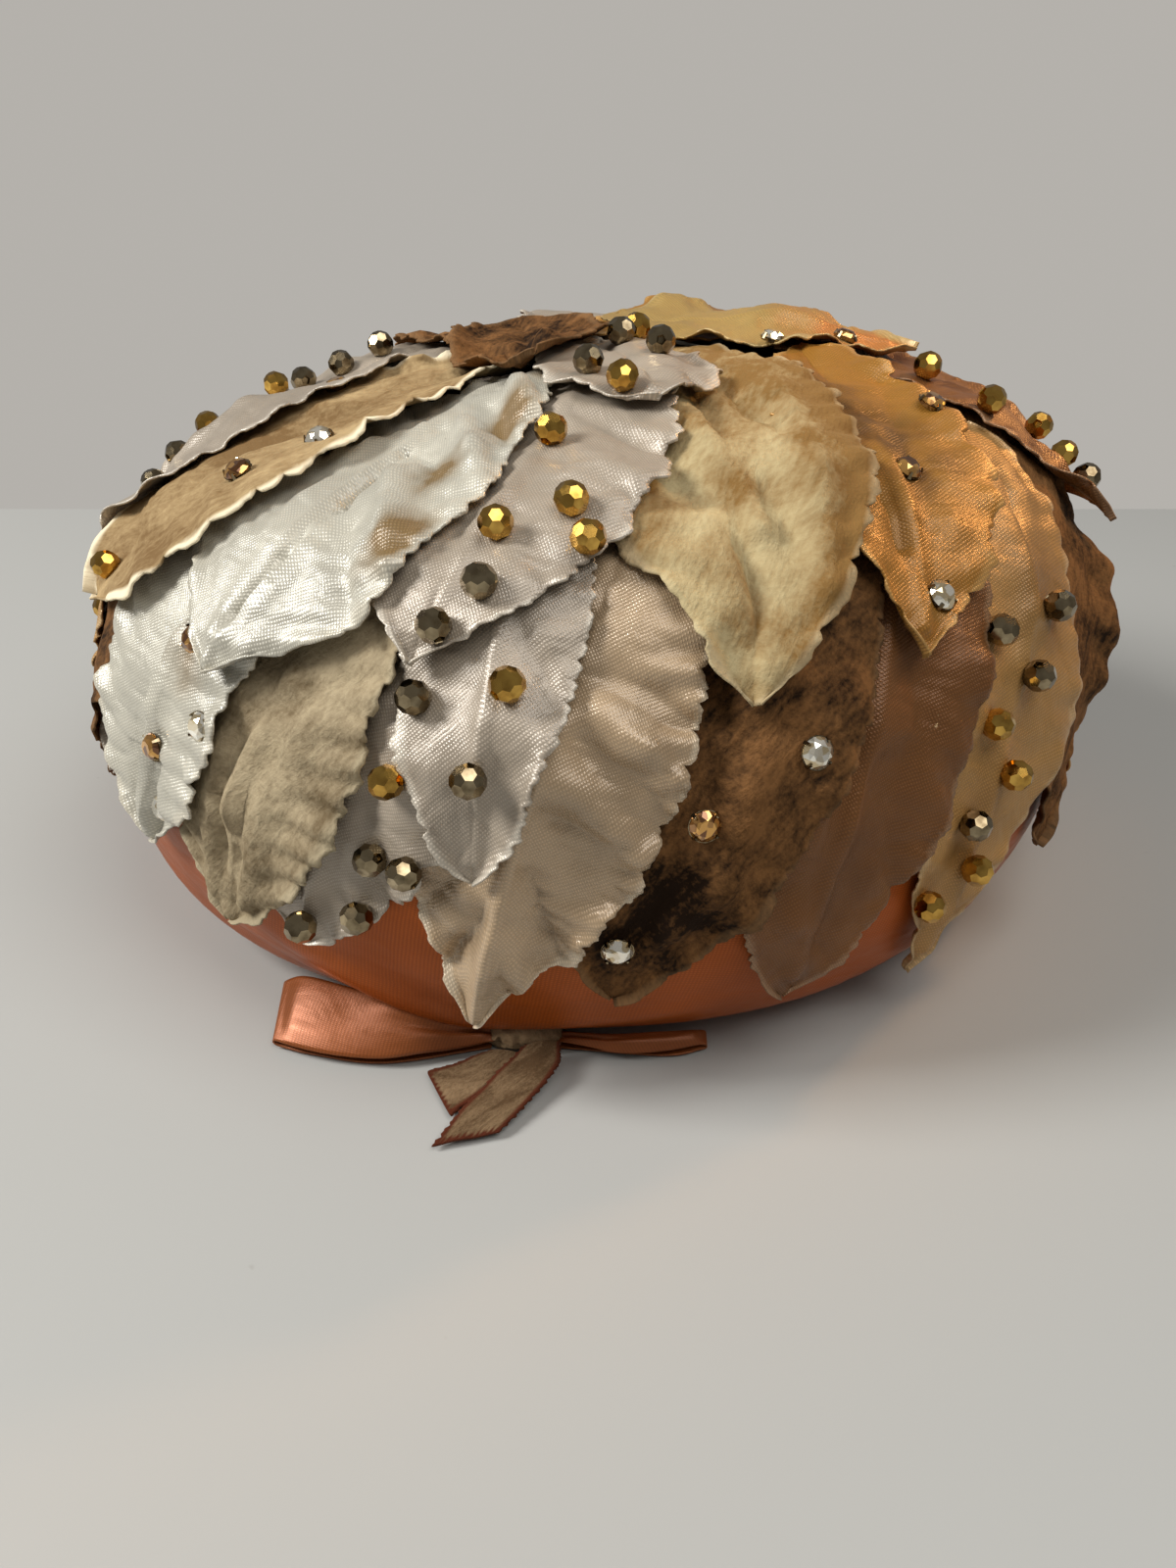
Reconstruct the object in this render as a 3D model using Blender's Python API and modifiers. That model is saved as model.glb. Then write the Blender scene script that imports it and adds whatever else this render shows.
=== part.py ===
"""Pillbox hat covered in overlapping satin and velvet leaves, with beads, stones and a ribbon bow at the rim.

The finished outline is one turned section. Arcs are measured along it from the top centre, azimuths about the
vertical axis from +X, and the camera of the reference stood at azimuth -90. Each leaf is laid on what lies
under it, from the lowest to the topmost. Sizes in the tables are in millimetres and degrees.
"""

import math

import bmesh
import bpy
import numpy as np
from mathutils import Matrix, Vector
from mathutils.bvhtree import BVHTree

MM = 0.001

# The hat's outline
SKIN_RADIUS = 115.0
SKIN_HEIGHT = 114.4
WIDEST_AT = 43.0
RIM_RADIUS = 90.0
SHOULDER = 2.35
LEAN = 3.0
RISE = 8.0
HAT_CENTRE = (-0.2, 5.5)

# The crown and the band under the leaves
CROWN_INSET = 5.3
CROWN_DIP = 3.0
DIP_ARC = 110.0
DIP_POWER = 1.5
CROWN_WALL = 2.2
CROWN_ARCS = (0.0, 34.0, 62.0, 86.0, 108.0)
BAND_WALL = 1.5
BAND_TOP_ARC = 128.0
BAND_FLUSH_BEFORE_RIM = 14.0
UNDER_LEAVES = 3.0
SHARED_ARCS = (BAND_TOP_ARC, 142.0, 158.0, 172.0, 184.0, 195.0)
RIM_FLAT = 6.0
RIM_ROLL = ((0.0, 0.0), (1.6, 1.2), (2.2, 3.2), (1.2, 5.0))
HOLLOW_EDGE = 0.6
LIP_ARC = 195.0
GAP = 0.3
TURN_STEPS = 26

# The leaves
LEAF_WALL = 1.0
LEAF_ROWS = 6
LEAF_COLUMNS = 4
CURL_FROM = 0.7
EDGE_CURL = 0.6
BLUNT = 1.6
BASE_FULLNESS = 0.5
SETTLE_RATE = 0.25
SETTLE_STEPS = 300
SETTLE_SWEEPS = 3
SETTLED = 0.005
CARRIED = 0.02

# What is sewn on the leaves
BEAD_RADIUS = 3.0
BEAD_SIDES = 8
BEAD_RINGS = 4
BEAD_SEAT = 2.05
STONE_RADIUS = 2.8
STONE_SIDES = 8
STONE_TABLE = 1.7
STONE_HEIGHT = 1.9
STONE_SUNK = 0.5
ABOVE_ALL = 40.0
ZIGZAG_FROM = 0.5
ZIGZAG_RUN = 0.38
ZIGZAG_ASIDE = 0.35

# The ribbons
RIBBON_WALL = 1.0
KNOT_FOOT = 0.8
KNOT_SHOULDER = 1.2

LEAF_FIELDS = ("name", "cloth", "base azimuth", "base arc", "tip azimuth", "tip arc", "width", "bow",
               "widest", "taper", "curl")
LEAVES = (
    ("low_01", "satin_grey", -138, 76, -149, 158, 44, 0, 0.47, 0.15, 1.6),
    ("low_02", "velvet_brown", -142, 76, -163, 172, 44, 0, 0.47, 0.15, 1.6),
    ("low_03", "satin_tan", 198, 76, 179, 176, 46, 0, 0.47, 0.15, 1.6),
    ("low_04", "velvet_olive", 178, 76, 159, 172, 44, 0, 0.47, 0.15, 1.6),
    ("low_05", "satin_mauve", 159, 76, 139, 178, 46, 0, 0.47, 0.15, 1.6),
    ("low_06", "satin_grey", 139, 76, 120, 173, 44, 0, 0.47, 0.15, 1.6),
    ("low_07", "velvet_brown", 120, 76, 100, 178, 46, 0, 0.47, 0.15, 1.6),
    ("low_08", "satin_champagne", 100, 76, 81, 174, 46, 0, 0.47, 0.15, 1.6),
    ("low_09", "velvet_olive", 81, 76, 61, 178, 44, 0, 0.47, 0.15, 1.6),
    ("low_10", "satin_tan", 61, 76, 42, 172, 44, 0, 0.47, 0.15, 1.6),
    ("low_11", "satin_mauve", 42, 76, 22, 178, 46, 0, 0.47, 0.15, 1.6),
    ("low_12", "velvet_brown", 22, 76, 3, 173, 46, 0, 0.47, 0.15, 1.6),
    ("low_13", "satin_gold", 2, 76, -17, 176, 44, 0, 0.47, 0.15, 1.6),
    ("low_14", "velvet_brown", -12, 66, -35, 172, 46, 0, 0.47, 0.15, 2.4),
    ("low_15", "satin_tan", -22, 83, -56, 184, 41, 0, 0.47, 0.4, 1.6),
    ("low_16", "satin_mauve", -44, 72, -72, 178, 46, 0, 0.47, 0.15, 1.6),
    ("low_17", "velvet_brown", -62, 74, -88, 173, 50, 1.5, 0.47, 0.15, 1.6),
    ("low_18", "satin_champagne", -86, 84, -100, 177, 46, 3, 0.47, 0.5, 1.6),
    ("low_19", "satin_grey", -98, 80, -117, 170, 50, 0, 0.47, 0.15, 1.6),
    ("low_20", "satin_grey", -99, 62, -99.5, 148, 30, 0, 0.47, 0.15, 1.6),
    ("low_21", "velvet_olive", -111, 80, -126, 171, 48, 0, 0.52, 0.15, 1.6),
    ("low_22", "satin_silver", -128, 76, -138, 163, 46, 0, 0.52, 0.15, 1.6),
    ("mid_01", "velvet_beige", -145, 42, 152, 120, 46, 0, 0.47, 0.4, 1.6),
    ("mid_02", "satin_champagne", 176, 42, 120, 122, 46, 0, 0.47, 0.4, 1.6),
    ("mid_03", "velvet_brown", 146, 42, 86, 120, 46, 0, 0.47, 0.4, 1.6),
    ("mid_04", "satin_grey", 114, 42, 52, 122, 46, 0, 0.47, 0.4, 1.6),
    ("mid_05", "velvet_cream", 78, 42, 16, 120, 46, 0, 0.47, 0.4, 1.6),
    ("mid_06", "satin_mauve", 30, 40, -17, 119, 38, 0, 0.47, 0.4, 7.0),
    ("mid_07", "satin_gold", -4, 44, -60, 119, 41, 0, 0.58, 0.4, 1.6),
    ("mid_08", "velvet_cream", 5, 9, -77, 121, 54, 2, 0.47, 0.25, 1.6),
    ("mid_09", "satin_grey", -75, 10, -106, 114, 51, 4, 0.6, 0.4, 1.6),
    ("mid_10", "satin_silver", -117, 16, -126, 121, 52, 4, 0.66, 0.3, 1.6),
    ("mid_11", "velvet_beige", -160, 16, -157, 123, 60, 7, 0.64, 0.15, 1.6),
    ("mid_12", "satin_grey", 150, 34, -168, 124, 40, 0, 0.47, 0.4, 1.6),
    ("top_01", "velvet_brown", -135, 8, 130, 76, 40, 0, 0.47, 0.4, 1.6),
    ("top_02", "satin_grey", 170, 8, 80, 78, 40, 0, 0.47, 0.4, 1.6),
    ("top_03", "satin_gold", 120, 10, 36, 80, 38, 0, 0.47, 0.4, 1.6),
    ("top_04", "satin_olive", 90, 14, 8, 74, 38, 0, 0.47, 0.4, 1.6),
    ("top_05", "satin_grey", 135, 7, -80, 58, 34, 0, 0.62, 0.15, 1.6),
    ("top_06", "velvet_brown", 128, 30, -110, 38, 34, 0, 0.47, 0.2, 1.6),
)

# Beads and stones as the reference shows them: leaf, place along it from 0 to 1, and across it from -1 to 1
BEADS = (
    ("top_05", 0.33, 0.55), ("top_05", 0.40, 0.20), ("top_05", 0.59, 0.49), ("top_05", 0.72, -0.55),
    ("top_05", 0.90, -0.60),
    ("mid_09", 0.52, 0.09), ("mid_09", 0.70, 0.56), ("mid_09", 0.77, 0.20), ("mid_09", 0.87, 0.46),
    ("mid_09", 0.94, 0.30),
    ("mid_09", 0.76, 0.85), ("low_20", 0.63, 0.36), ("low_20", 0.79, 0.01),
    ("low_20", 0.65, -0.75), ("low_19", 0.55, 0.42), ("low_19", 0.72, 0.57), ("low_19", 0.68, 0.88),
    ("low_19", 0.92, 0.16), ("low_19", 0.84, 0.82),
    ("low_15", 0.39, 0.30), ("low_15", 0.45, -0.42), ("low_15", 0.50, 0.08), ("low_15", 0.58, -0.31),
    ("low_15", 0.64, 0.11), ("low_15", 0.72, -0.24), ("low_15", 0.79, -0.06), ("low_15", 0.85, -0.75),
    ("mid_12", 0.61, -0.49), ("mid_12", 0.70, -0.35), ("mid_12", 0.78, -0.30), ("mid_12", 0.43, -0.80),
    ("mid_12", 0.39, -0.27), ("mid_12", 0.30, -0.33), ("mid_12", 0.21, -0.21),
    ("mid_06", 0.90, 0.50), ("mid_06", 0.83, 0.60), ("mid_06", 0.74, 0.75), ("mid_06", 0.67, -0.80),
    ("mid_06", 0.50, -0.39),
    ("mid_11", 0.93, 0.0), ("low_03", 0.62, 0.30),
)
STONES = (
    ("mid_11", 0.62, 0.50), ("mid_11", 0.49, 0.60), ("mid_11", 0.37, -0.74),
    ("low_22", 0.45, 0.29), ("low_22", 0.58, 0.80), ("low_22", 0.73, 0.17), ("low_22", 0.89, 0.38),
    ("low_17", 0.50, 0.69), ("low_17", 0.66, 0.22), ("low_17", 0.90, -0.14),
    ("mid_07", 0.89, 0.41), ("mid_07", 0.61, 0.24), ("mid_07", 0.40, 0.80),
    ("top_04", 0.52, -0.85), ("top_04", 0.76, -0.49),
)
# The far side repeats the same trims: leaf, how many, in a zigzag down the leaf
BEADED_BEHIND = (("low_06", 1), ("low_10", 1), ("mid_04", 1))
STONED_BEHIND = (("low_08", 1), ("low_13", 1))

# Each loop of the bow, as stations across it: x, front y, front z, rear y, rear z
LOOP_LEFT = (
    (-19.5, -103.4, 2.6, -99.6, 4.6),
    (-29.0, -106.0, 2.6, -100.6, 8.4),
    (-38.0, -107.6, 2.4, -98.4, 9.4),
    (-48.0, -106.6, 2.4, -94.4, 9.2),
    (-56.0, -104.2, 2.4, -91.0, 8.4),
    (-59.6, -102.4, 2.2, -90.2, 6.8),
    (-59.6, -102.2, 0.8, -90.2, 4.6),
    (-52.0, -104.6, 0.8, -92.6, 2.0),
    (-38.0, -106.8, 0.8, -95.4, 0.8),
    (-19.5, -102.6, 0.8, -99.6, 0.8),
)
LOOP_RIGHT = (
    (-4.5, -103.4, 2.6, -100.4, 3.0),
    (6.0, -106.0, 2.6, -103.0, 4.2),
    (15.0, -105.2, 2.5, -102.2, 4.2),
    (22.5, -103.4, 2.3, -100.6, 3.4),
    (22.5, -103.2, 0.8, -100.6, 1.7),
    (14.0, -104.8, 0.8, -101.0, 0.8),
    (-4.5, -102.6, 0.8, -99.8, 0.8),
)
# Each ribbon tail, as stations down it: left x, left y, right x, right y, height
TAIL_LEFT = (
    (-18.2, -104.9, -12.6, -105.9, 1.3),
    (-22.0, -106.4, -15.0, -111.0, 0.9),
    (-26.0, -108.2, -19.8, -116.0, 0.9),
    (-30.0, -110.0, -24.5, -121.0, 0.9),
)
TAIL_RIGHT = (
    (-11.8, -105.6, -5.4, -104.9, 3.4),
    (-15.6, -111.0, -5.6, -110.6, 2.6),
    (-21.5, -119.4, -10.2, -118.0, 2.3),
    (-27.0, -128.0, -15.5, -125.0, 1.0),
)
# The knot, as upright sections: front y, rear y, low z, front top z, rear top z, x
KNOT = (
    (-102.6, -98.8, 0.9, 3.8, 2.4, -19.0),
    (-104.4, -98.4, 0.4, 5.4, 2.5, -16.5),
    (-104.6, -98.4, 0.4, 6.2, 2.5, -12.0),
    (-104.4, -98.6, 0.4, 5.4, 2.5, -7.5),
    (-102.6, -98.8, 0.9, 3.8, 2.4, -5.0),
)

CLOTHS = {
    "crown_cloth": ((0.20, 0.15, 0.11), 0.9),
    "satin_copper": ((0.60, 0.24, 0.11), 0.4),
    "satin_grey": ((0.50, 0.45, 0.42), 0.45),
    "satin_silver": ((0.66, 0.64, 0.59), 0.35),
    "satin_champagne": ((0.56, 0.47, 0.35), 0.35),
    "satin_mauve": ((0.30, 0.21, 0.16), 0.45),
    "satin_gold": ((0.62, 0.41, 0.20), 0.4),
    "satin_tan": ((0.52, 0.39, 0.24), 0.45),
    "satin_olive": ((0.45, 0.37, 0.20), 0.4),
    "velvet_olive": ((0.34, 0.29, 0.20), 0.85),
    "velvet_beige": ((0.43, 0.29, 0.15), 0.85),
    "velvet_brown": ((0.16, 0.09, 0.045), 0.85),
    "velvet_cream": ((0.60, 0.50, 0.33), 0.8),
    "ribbon_velvet": ((0.25, 0.17, 0.11), 0.85),
}

# The chart: a flat map of the finished skin, its centre at the top centre, distance from it the arc
CHART_STEP = 1.5
CHART_REACH = 208.5
EDGE_MARGIN = 0.1


def clear_scene():
    for obj in list(bpy.data.objects):
        bpy.data.objects.remove(obj, do_unlink=True)


def new_collection(name, hidden=False):
    collection = bpy.data.collections.new(name)
    bpy.context.scene.collection.children.link(collection)
    collection.hide_render = hidden
    return collection


def new_material(name, color, roughness):
    material = bpy.data.materials.new(name)
    material.use_nodes = True
    shader = material.node_tree.nodes["Principled BSDF"]
    shader.inputs["Base Color"].default_value = (*color, 1)
    shader.inputs["Roughness"].default_value = roughness
    shader.inputs["Metallic"].default_value = 0.0
    material.diffuse_color = (*color, 1)
    return material


def section(samples=240):
    """The finished skin's half section from top centre to rim: radius, height, outward normal, arc."""
    upper = np.linspace(math.pi / 2, 0.0, samples)
    lower = np.linspace(0.0, math.pi / 2, samples // 2)[1:]
    dome_radius = SKIN_RADIUS * np.cos(upper).clip(0) ** (2 / SHOULDER)
    dome_height = WIDEST_AT + (SKIN_HEIGHT - WIDEST_AT) * np.sin(upper).clip(0) ** (2 / SHOULDER)
    under_radius = RIM_RADIUS + (SKIN_RADIUS - RIM_RADIUS) * np.cos(lower)
    under_height = WIDEST_AT * (1 - np.sin(lower))
    radius = np.concatenate([dome_radius, under_radius])
    height = np.concatenate([dome_height, under_height])
    arc = np.concatenate([[0.0], np.cumsum(np.hypot(np.diff(radius), np.diff(height)))])
    along = np.column_stack([np.gradient(radius, arc), np.gradient(height, arc)])
    along /= np.linalg.norm(along, axis=1)[:, None]
    return radius, height, np.column_stack([-along[:, 1], along[:, 0]]), arc


SECTION_RADIUS, SECTION_HEIGHT, SECTION_NORMAL, SECTION_ARC = section()
RIM_ARC = SECTION_ARC[-1]


def lean_at(height):
    return LEAN * (np.maximum(height, 0) / SKIN_HEIGHT) ** 2


def rise_at(x, height):
    """The crown stands higher on its +X side than on the other."""
    return RISE * x / SKIN_RADIUS * np.clip((height - WIDEST_AT) / (SKIN_HEIGHT - WIDEST_AT), 0, 1)


def skin(azimuth, arc, lift):
    """Points over the finished skin: azimuth in radians, arc and lift in millimetres."""
    radius = np.interp(arc, SECTION_ARC, SECTION_RADIUS)
    height = np.interp(arc, SECTION_ARC, SECTION_HEIGHT)
    out = np.interp(arc, SECTION_ARC, SECTION_NORMAL[:, 0])
    up = np.interp(arc, SECTION_ARC, SECTION_NORMAL[:, 1])
    reach = radius + lift * out
    level = height + lift * up
    x, y = reach * np.cos(azimuth), reach * np.sin(azimuth)
    return np.stack([x + lean_at(level), y, level + rise_at(x, level)], axis=-1)


def band_inset(arc):
    """How far the band's outer face lies under the finished skin: deep below the leaves, flush at the rim."""
    down = np.clip((arc - BAND_TOP_ARC) / (RIM_ARC - BAND_FLUSH_BEFORE_RIM - BAND_TOP_ARC), 0, 1)
    return (CROWN_INSET - GAP - BAND_WALL) * (1 - down * down * (3 - 2 * down))


def crown_inset(arc):
    """The crown's outer face lies just inside the band, deeper at the top, where the most leaves cross."""
    dip = np.clip(1 - np.asarray(arc, float) / DIP_ARC, 0, 1)
    return band_inset(arc) + BAND_WALL + GAP + CROWN_DIP * dip ** DIP_POWER


def section_points(arcs, inset):
    """Section points (radius, height) at these arcs, moved inwards from the finished skin."""
    arcs = np.asarray(arcs, float)
    out = np.interp(arcs, SECTION_ARC, SECTION_NORMAL[:, 0])
    up = np.interp(arcs, SECTION_ARC, SECTION_NORMAL[:, 1])
    radius = np.interp(arcs, SECTION_ARC, SECTION_RADIUS) - inset * out
    height = np.interp(arcs, SECTION_ARC, SECTION_HEIGHT) - inset * up
    return list(zip(radius.clip(0), height))


def add_object(mesh_builder, name, material, collection):
    mesh = bpy.data.meshes.new(name)
    bmesh.ops.recalc_face_normals(mesh_builder, faces=mesh_builder.faces[:])
    mesh_builder.to_mesh(mesh)
    mesh_builder.free()
    mesh.materials.append(material)
    mesh.shade_smooth()
    obj = bpy.data.objects.new(name, mesh)
    collection.objects.link(obj)
    return obj


def turned(name, outline, material, collection):
    """A closed piece turned about the vertical axis from an outline of (radius, height), then leaned."""
    builder = bmesh.new()
    points = [builder.verts.new((radius * MM, 0, height * MM)) for radius, height in outline]
    rings = list(zip(points, points[1:]))
    if outline[0][0] > 0:
        rings.append((points[-1], points[0]))
    edges = [builder.edges.new(pair) for pair in rings]
    whole = {"axis": (0, 0, 1), "cent": (0, 0, 0), "angle": math.tau, "steps": TURN_STEPS}
    bmesh.ops.spin(builder, geom=points + edges, **whole)
    bmesh.ops.remove_doubles(builder, verts=builder.verts[:], dist=0.00001)
    for vertex in builder.verts:
        x, height = vertex.co.x / MM, vertex.co.z / MM
        vertex.co.x += float(lean_at(height)) * MM
        vertex.co.z += float(rise_at(x, height)) * MM
    return add_object(builder, name, material, collection)


def make_crown(material, collection):
    arcs = (*CROWN_ARCS, *SHARED_ARCS, RIM_ARC)
    outer = section_points(arcs, crown_inset(np.array(arcs)))
    inner = section_points(arcs, crown_inset(np.array(arcs)) + CROWN_WALL)
    return turned("crown", outer + inner[::-1], material, collection)


def make_band(material, collection):
    """The satin from under the leaves to the rim, flat where it rests, then turned in over the crown."""
    arcs = (*SHARED_ARCS, RIM_ARC)
    insets = band_inset(np.array(arcs))
    outer = section_points(arcs, insets)
    inner = section_points(arcs, insets + BAND_WALL)
    inside_edge = RIM_RADIUS - RIM_FLAT
    fold = [(inside_edge - inward, height) for inward, height in RIM_ROLL]
    lip_deep = crown_inset(np.array((RIM_ARC, LIP_ARC))) + CROWN_WALL + GAP
    lip_top = section_points((RIM_ARC, LIP_ARC), lip_deep + BAND_WALL)
    lip_under = section_points((RIM_ARC, LIP_ARC), lip_deep)[::-1]
    hollow = [(inside_edge + HOLLOW_EDGE, lip_under[1][1] - HOLLOW_EDGE)]
    hollow.append((inside_edge + HOLLOW_EDGE, BAND_WALL + HOLLOW_EDGE))
    outline = outer + fold + lip_top + lip_under + hollow + inner[::-1]
    return turned("satin_band", outline, material, collection)


def chart_cells():
    """The chart's cells: the skin's point at each, and the way of a lift there, over its length squared."""
    ticks = np.arange(-CHART_REACH, CHART_REACH + CHART_STEP, CHART_STEP)
    across, up = np.meshgrid(ticks, ticks, indexing="ij")
    arc = np.hypot(across, up).ravel()
    azimuth = np.arctan2(up, across).ravel()
    base = skin(azimuth, arc, 0.0)
    way = skin(azimuth, arc, 1.0) - base
    return len(ticks), arc, base, way / (way * way).sum(axis=1)[:, None]


CHART_SIDE, CELL_ARC, CELL_BASE, CELL_WAY = chart_cells()


def polar(azimuth, arc):
    angle = math.radians(azimuth)
    return np.array([arc * math.cos(angle), arc * math.sin(angle)])


def leaf_half_width(leaf, along):
    """Half the leaf's width from its base, 0, to its tip, 1: the more taper, the more pointed the tip."""
    half_way = along ** (math.log(0.5) / math.log(leaf["widest"]))
    swell = max(math.sin(math.pi * half_way), 0.0) ** (BASE_FULLNESS + leaf["taper"] * along)
    return max(leaf["width"] / 2 * swell, BLUNT)


def leaf_spot(leaf, along, across):
    """A chart point of a leaf: along its midrib from 0 to 1, across it from -1 to 1."""
    start = polar(leaf["base azimuth"], leaf["base arc"])
    end = polar(leaf["tip azimuth"], leaf["tip arc"])
    side = np.array([start[1] - end[1], end[0] - start[0]])
    side /= np.linalg.norm(side)
    middle = (start + end) / 2 + 2 * leaf["bow"] * side
    centre = (1 - along) ** 2 * start + 2 * along * (1 - along) * middle + along ** 2 * end
    heading = 2 * (1 - along) * (middle - start) + 2 * along * (end - middle)
    arc = max(float(np.hypot(*centre)), 1.0)
    outward = centre / arc
    around = np.array([-outward[1], outward[0]])
    shrink = float(np.interp(arc, SECTION_ARC, SECTION_RADIUS)) / arc
    run = np.array([heading @ outward, heading @ around * shrink])
    run /= np.linalg.norm(run)
    sideways = -run[1] * outward + run[0] / shrink * around
    return centre + leaf_half_width(leaf, along) * across * sideways


def cells_under(chart, quads):
    """Each chart cell under a leaf's facets, with the three corners that carry it and their weights."""
    found = []
    for quad in quads:
        for corners in (quad[[0, 1, 2]], quad[[0, 2, 3]], quad[[0, 1, 3]], quad[[1, 2, 3]]):
            place = chart[corners]
            low = np.floor((place.min(axis=0) + CHART_REACH) / CHART_STEP).astype(int) - 1
            high = np.ceil((place.max(axis=0) + CHART_REACH) / CHART_STEP).astype(int) + 2
            column, row = np.meshgrid(np.arange(low[0], high[0]), np.arange(low[1], high[1]), indexing="ij")
            spots = np.column_stack([column.ravel(), row.ravel()])
            offset = spots * CHART_STEP - CHART_REACH - place[2]
            sides = np.column_stack([place[0] - place[2], place[1] - place[2]])
            if abs(np.linalg.det(sides)) < 1e-6:
                continue
            first = np.linalg.solve(sides, offset.T).T
            weights = np.column_stack([first, 1 - first.sum(axis=1)])
            inside = (weights > -EDGE_MARGIN).all(axis=1)
            cells = spots[inside, 0] * CHART_SIDE + spots[inside, 1]
            weights = weights[inside].clip(0)
            weights /= weights.sum(axis=1)[:, None]
            found.append((np.tile(corners, (len(cells), 1)), weights, cells))
    return tuple(np.concatenate(part) for part in zip(*found))


def height_over_skin(points, corners, weights, cells):
    spots = (points[corners] * weights[:, :, None]).sum(axis=1)
    return ((spots - CELL_BASE[cells]) * CELL_WAY[cells]).sum(axis=1)


def grid_mesh(rows, columns):
    """An open grid, with the place of each vertex in it as (row, column)."""
    builder = bmesh.new()
    bmesh.ops.create_grid(builder, x_segments=rows, y_segments=columns, size=1)
    builder.verts.ensure_lookup_table()
    places = [(round((v.co.x + 1) / 2 * rows), round((v.co.y + 1) / 2 * columns)) for v in builder.verts]
    return builder, places


def settle(azimuth, arc, floor, corners, weights, cells):
    """The lowest lift of each vertex that keeps the facets above the floor: raised gently, then let down."""
    lift = -crown_inset(arc)
    share = SETTLE_RATE * weights / (weights * weights).sum(axis=1)[:, None]
    for _ in range(SETTLE_STEPS):
        lack = floor - height_over_skin(skin(azimuth, arc, lift), corners, weights, cells)
        if lack.max() < SETTLED:
            break
        rise = np.zeros(len(lift))
        np.maximum.at(rise, corners, share * lack.clip(0)[:, None])
        lift += rise
    carried = weights > CARRIED
    owners = [
        [np.flatnonzero(carried[:, corner] & (corners[:, corner] == index)) for corner in range(3)]
        for index in range(len(lift))
    ]
    for _ in range(SETTLE_SWEEPS):
        for index in range(len(lift)):
            slack = height_over_skin(skin(azimuth, arc, lift), corners, weights, cells) - floor
            spare = [slack[rows] / weights[rows, corner] for corner, rows in enumerate(owners[index])]
            lift[index] -= 0.5 * max(np.concatenate(spare).min(), 0.0)
    return lift


def lay_leaf(leaf, floor):
    """Lays a leaf on what is under it: floor is the height over the skin of all that lies there so far."""
    builder, places = grid_mesh(LEAF_ROWS, LEAF_COLUMNS)
    along = np.array([row / LEAF_ROWS for row, _ in places])
    across = np.array([column / LEAF_COLUMNS * 2 - 1 for _, column in places])
    chart = np.array([leaf_spot(leaf, a, b) for a, b in zip(along, across)])
    azimuth = np.arctan2(chart[:, 1], chart[:, 0])
    arc = np.hypot(chart[:, 0], chart[:, 1])
    quads = [np.array([v.index for v in face.verts]) for face in builder.faces]
    corners, weights, cells = cells_under(chart, quads)
    lift = settle(azimuth, arc, floor[cells] + GAP, corners, weights, cells)
    curl = leaf["curl"] * ((along - CURL_FROM).clip(0) / (1 - CURL_FROM)) ** 2
    lift += curl + EDGE_CURL * across ** 2
    points = skin(azimuth, arc, lift)
    for vertex, point in zip(builder.verts, points):
        vertex.co = Vector(point) * MM
    builder.normal_update()
    if sum(face.normal.dot(face.calc_center_median()) for face in builder.faces) < 0:
        bmesh.ops.reverse_faces(builder, faces=builder.faces[:])
        builder.normal_update()
    normals = np.array([vertex.normal for vertex in builder.verts])
    top = height_over_skin(points + LEAF_WALL * normals, corners, weights, cells)
    np.maximum.at(floor, cells, top)
    return builder


def solidify(obj, wall, offset):
    modifier = obj.modifiers.new("Thickness", "SOLIDIFY")
    modifier.thickness = wall * MM
    modifier.offset = offset


def stand_on_leaf(spot, leaf_tree, lift):
    """The place of a trim at a chart point: so far over the leaf's top there, and square to the skin."""
    azimuth = math.atan2(spot[1], spot[0])
    arc = float(np.hypot(*spot))
    above = Vector(skin(azimuth, arc, ABOVE_ALL))
    normal = (above - Vector(skin(azimuth, arc, 0.0))).normalized()
    under_face = leaf_tree.ray_cast(above * MM, -normal)[0]
    place = under_face + normal * (LEAF_WALL + lift) * MM
    return Matrix.Translation(place) @ normal.to_track_quat("Z", "X").to_matrix().to_4x4()


def sew_trims(obj, beads, stones, leaf_tree, trims):
    """Fuses a leaf's beads and stones to it. The union's other operand stays hidden."""
    builder = bmesh.new()
    for spot in beads:
        bmesh.ops.create_uvsphere(
            builder,
            u_segments=BEAD_SIDES,
            v_segments=BEAD_RINGS,
            radius=BEAD_RADIUS * MM,
            matrix=stand_on_leaf(spot, leaf_tree, BEAD_SEAT),
        )
    for spot in stones:
        bmesh.ops.create_cone(
            builder,
            cap_ends=True,
            segments=STONE_SIDES,
            radius1=STONE_RADIUS * MM,
            radius2=STONE_TABLE * MM,
            depth=STONE_HEIGHT * MM,
            matrix=stand_on_leaf(spot, leaf_tree, STONE_HEIGHT / 2 - STONE_SUNK),
        )
    helper = add_object(builder, obj.name + "_trims", obj.data.materials[0], trims)
    helper.hide_render = True
    helper.display_type = "WIRE"
    modifier = obj.modifiers.new("Trims", "BOOLEAN")
    modifier.operation = "UNION"
    modifier.object = helper


def zigzag(count):
    """Trim places down a leaf, left and right of its midrib in turn."""
    steps = np.linspace(0.0, 1.0, count)
    places = ZIGZAG_FROM + ZIGZAG_RUN * steps
    return [(place, ZIGZAG_ASIDE * (-1) ** index) for index, place in enumerate(places)]


def trim_spots(leaf, charted, behind):
    places = [(along, across) for name, along, across in charted if name == leaf["name"]]
    places += zigzag(dict(behind).get(leaf["name"], 0))
    return [leaf_spot(leaf, along, across) for along, across in places]


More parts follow.
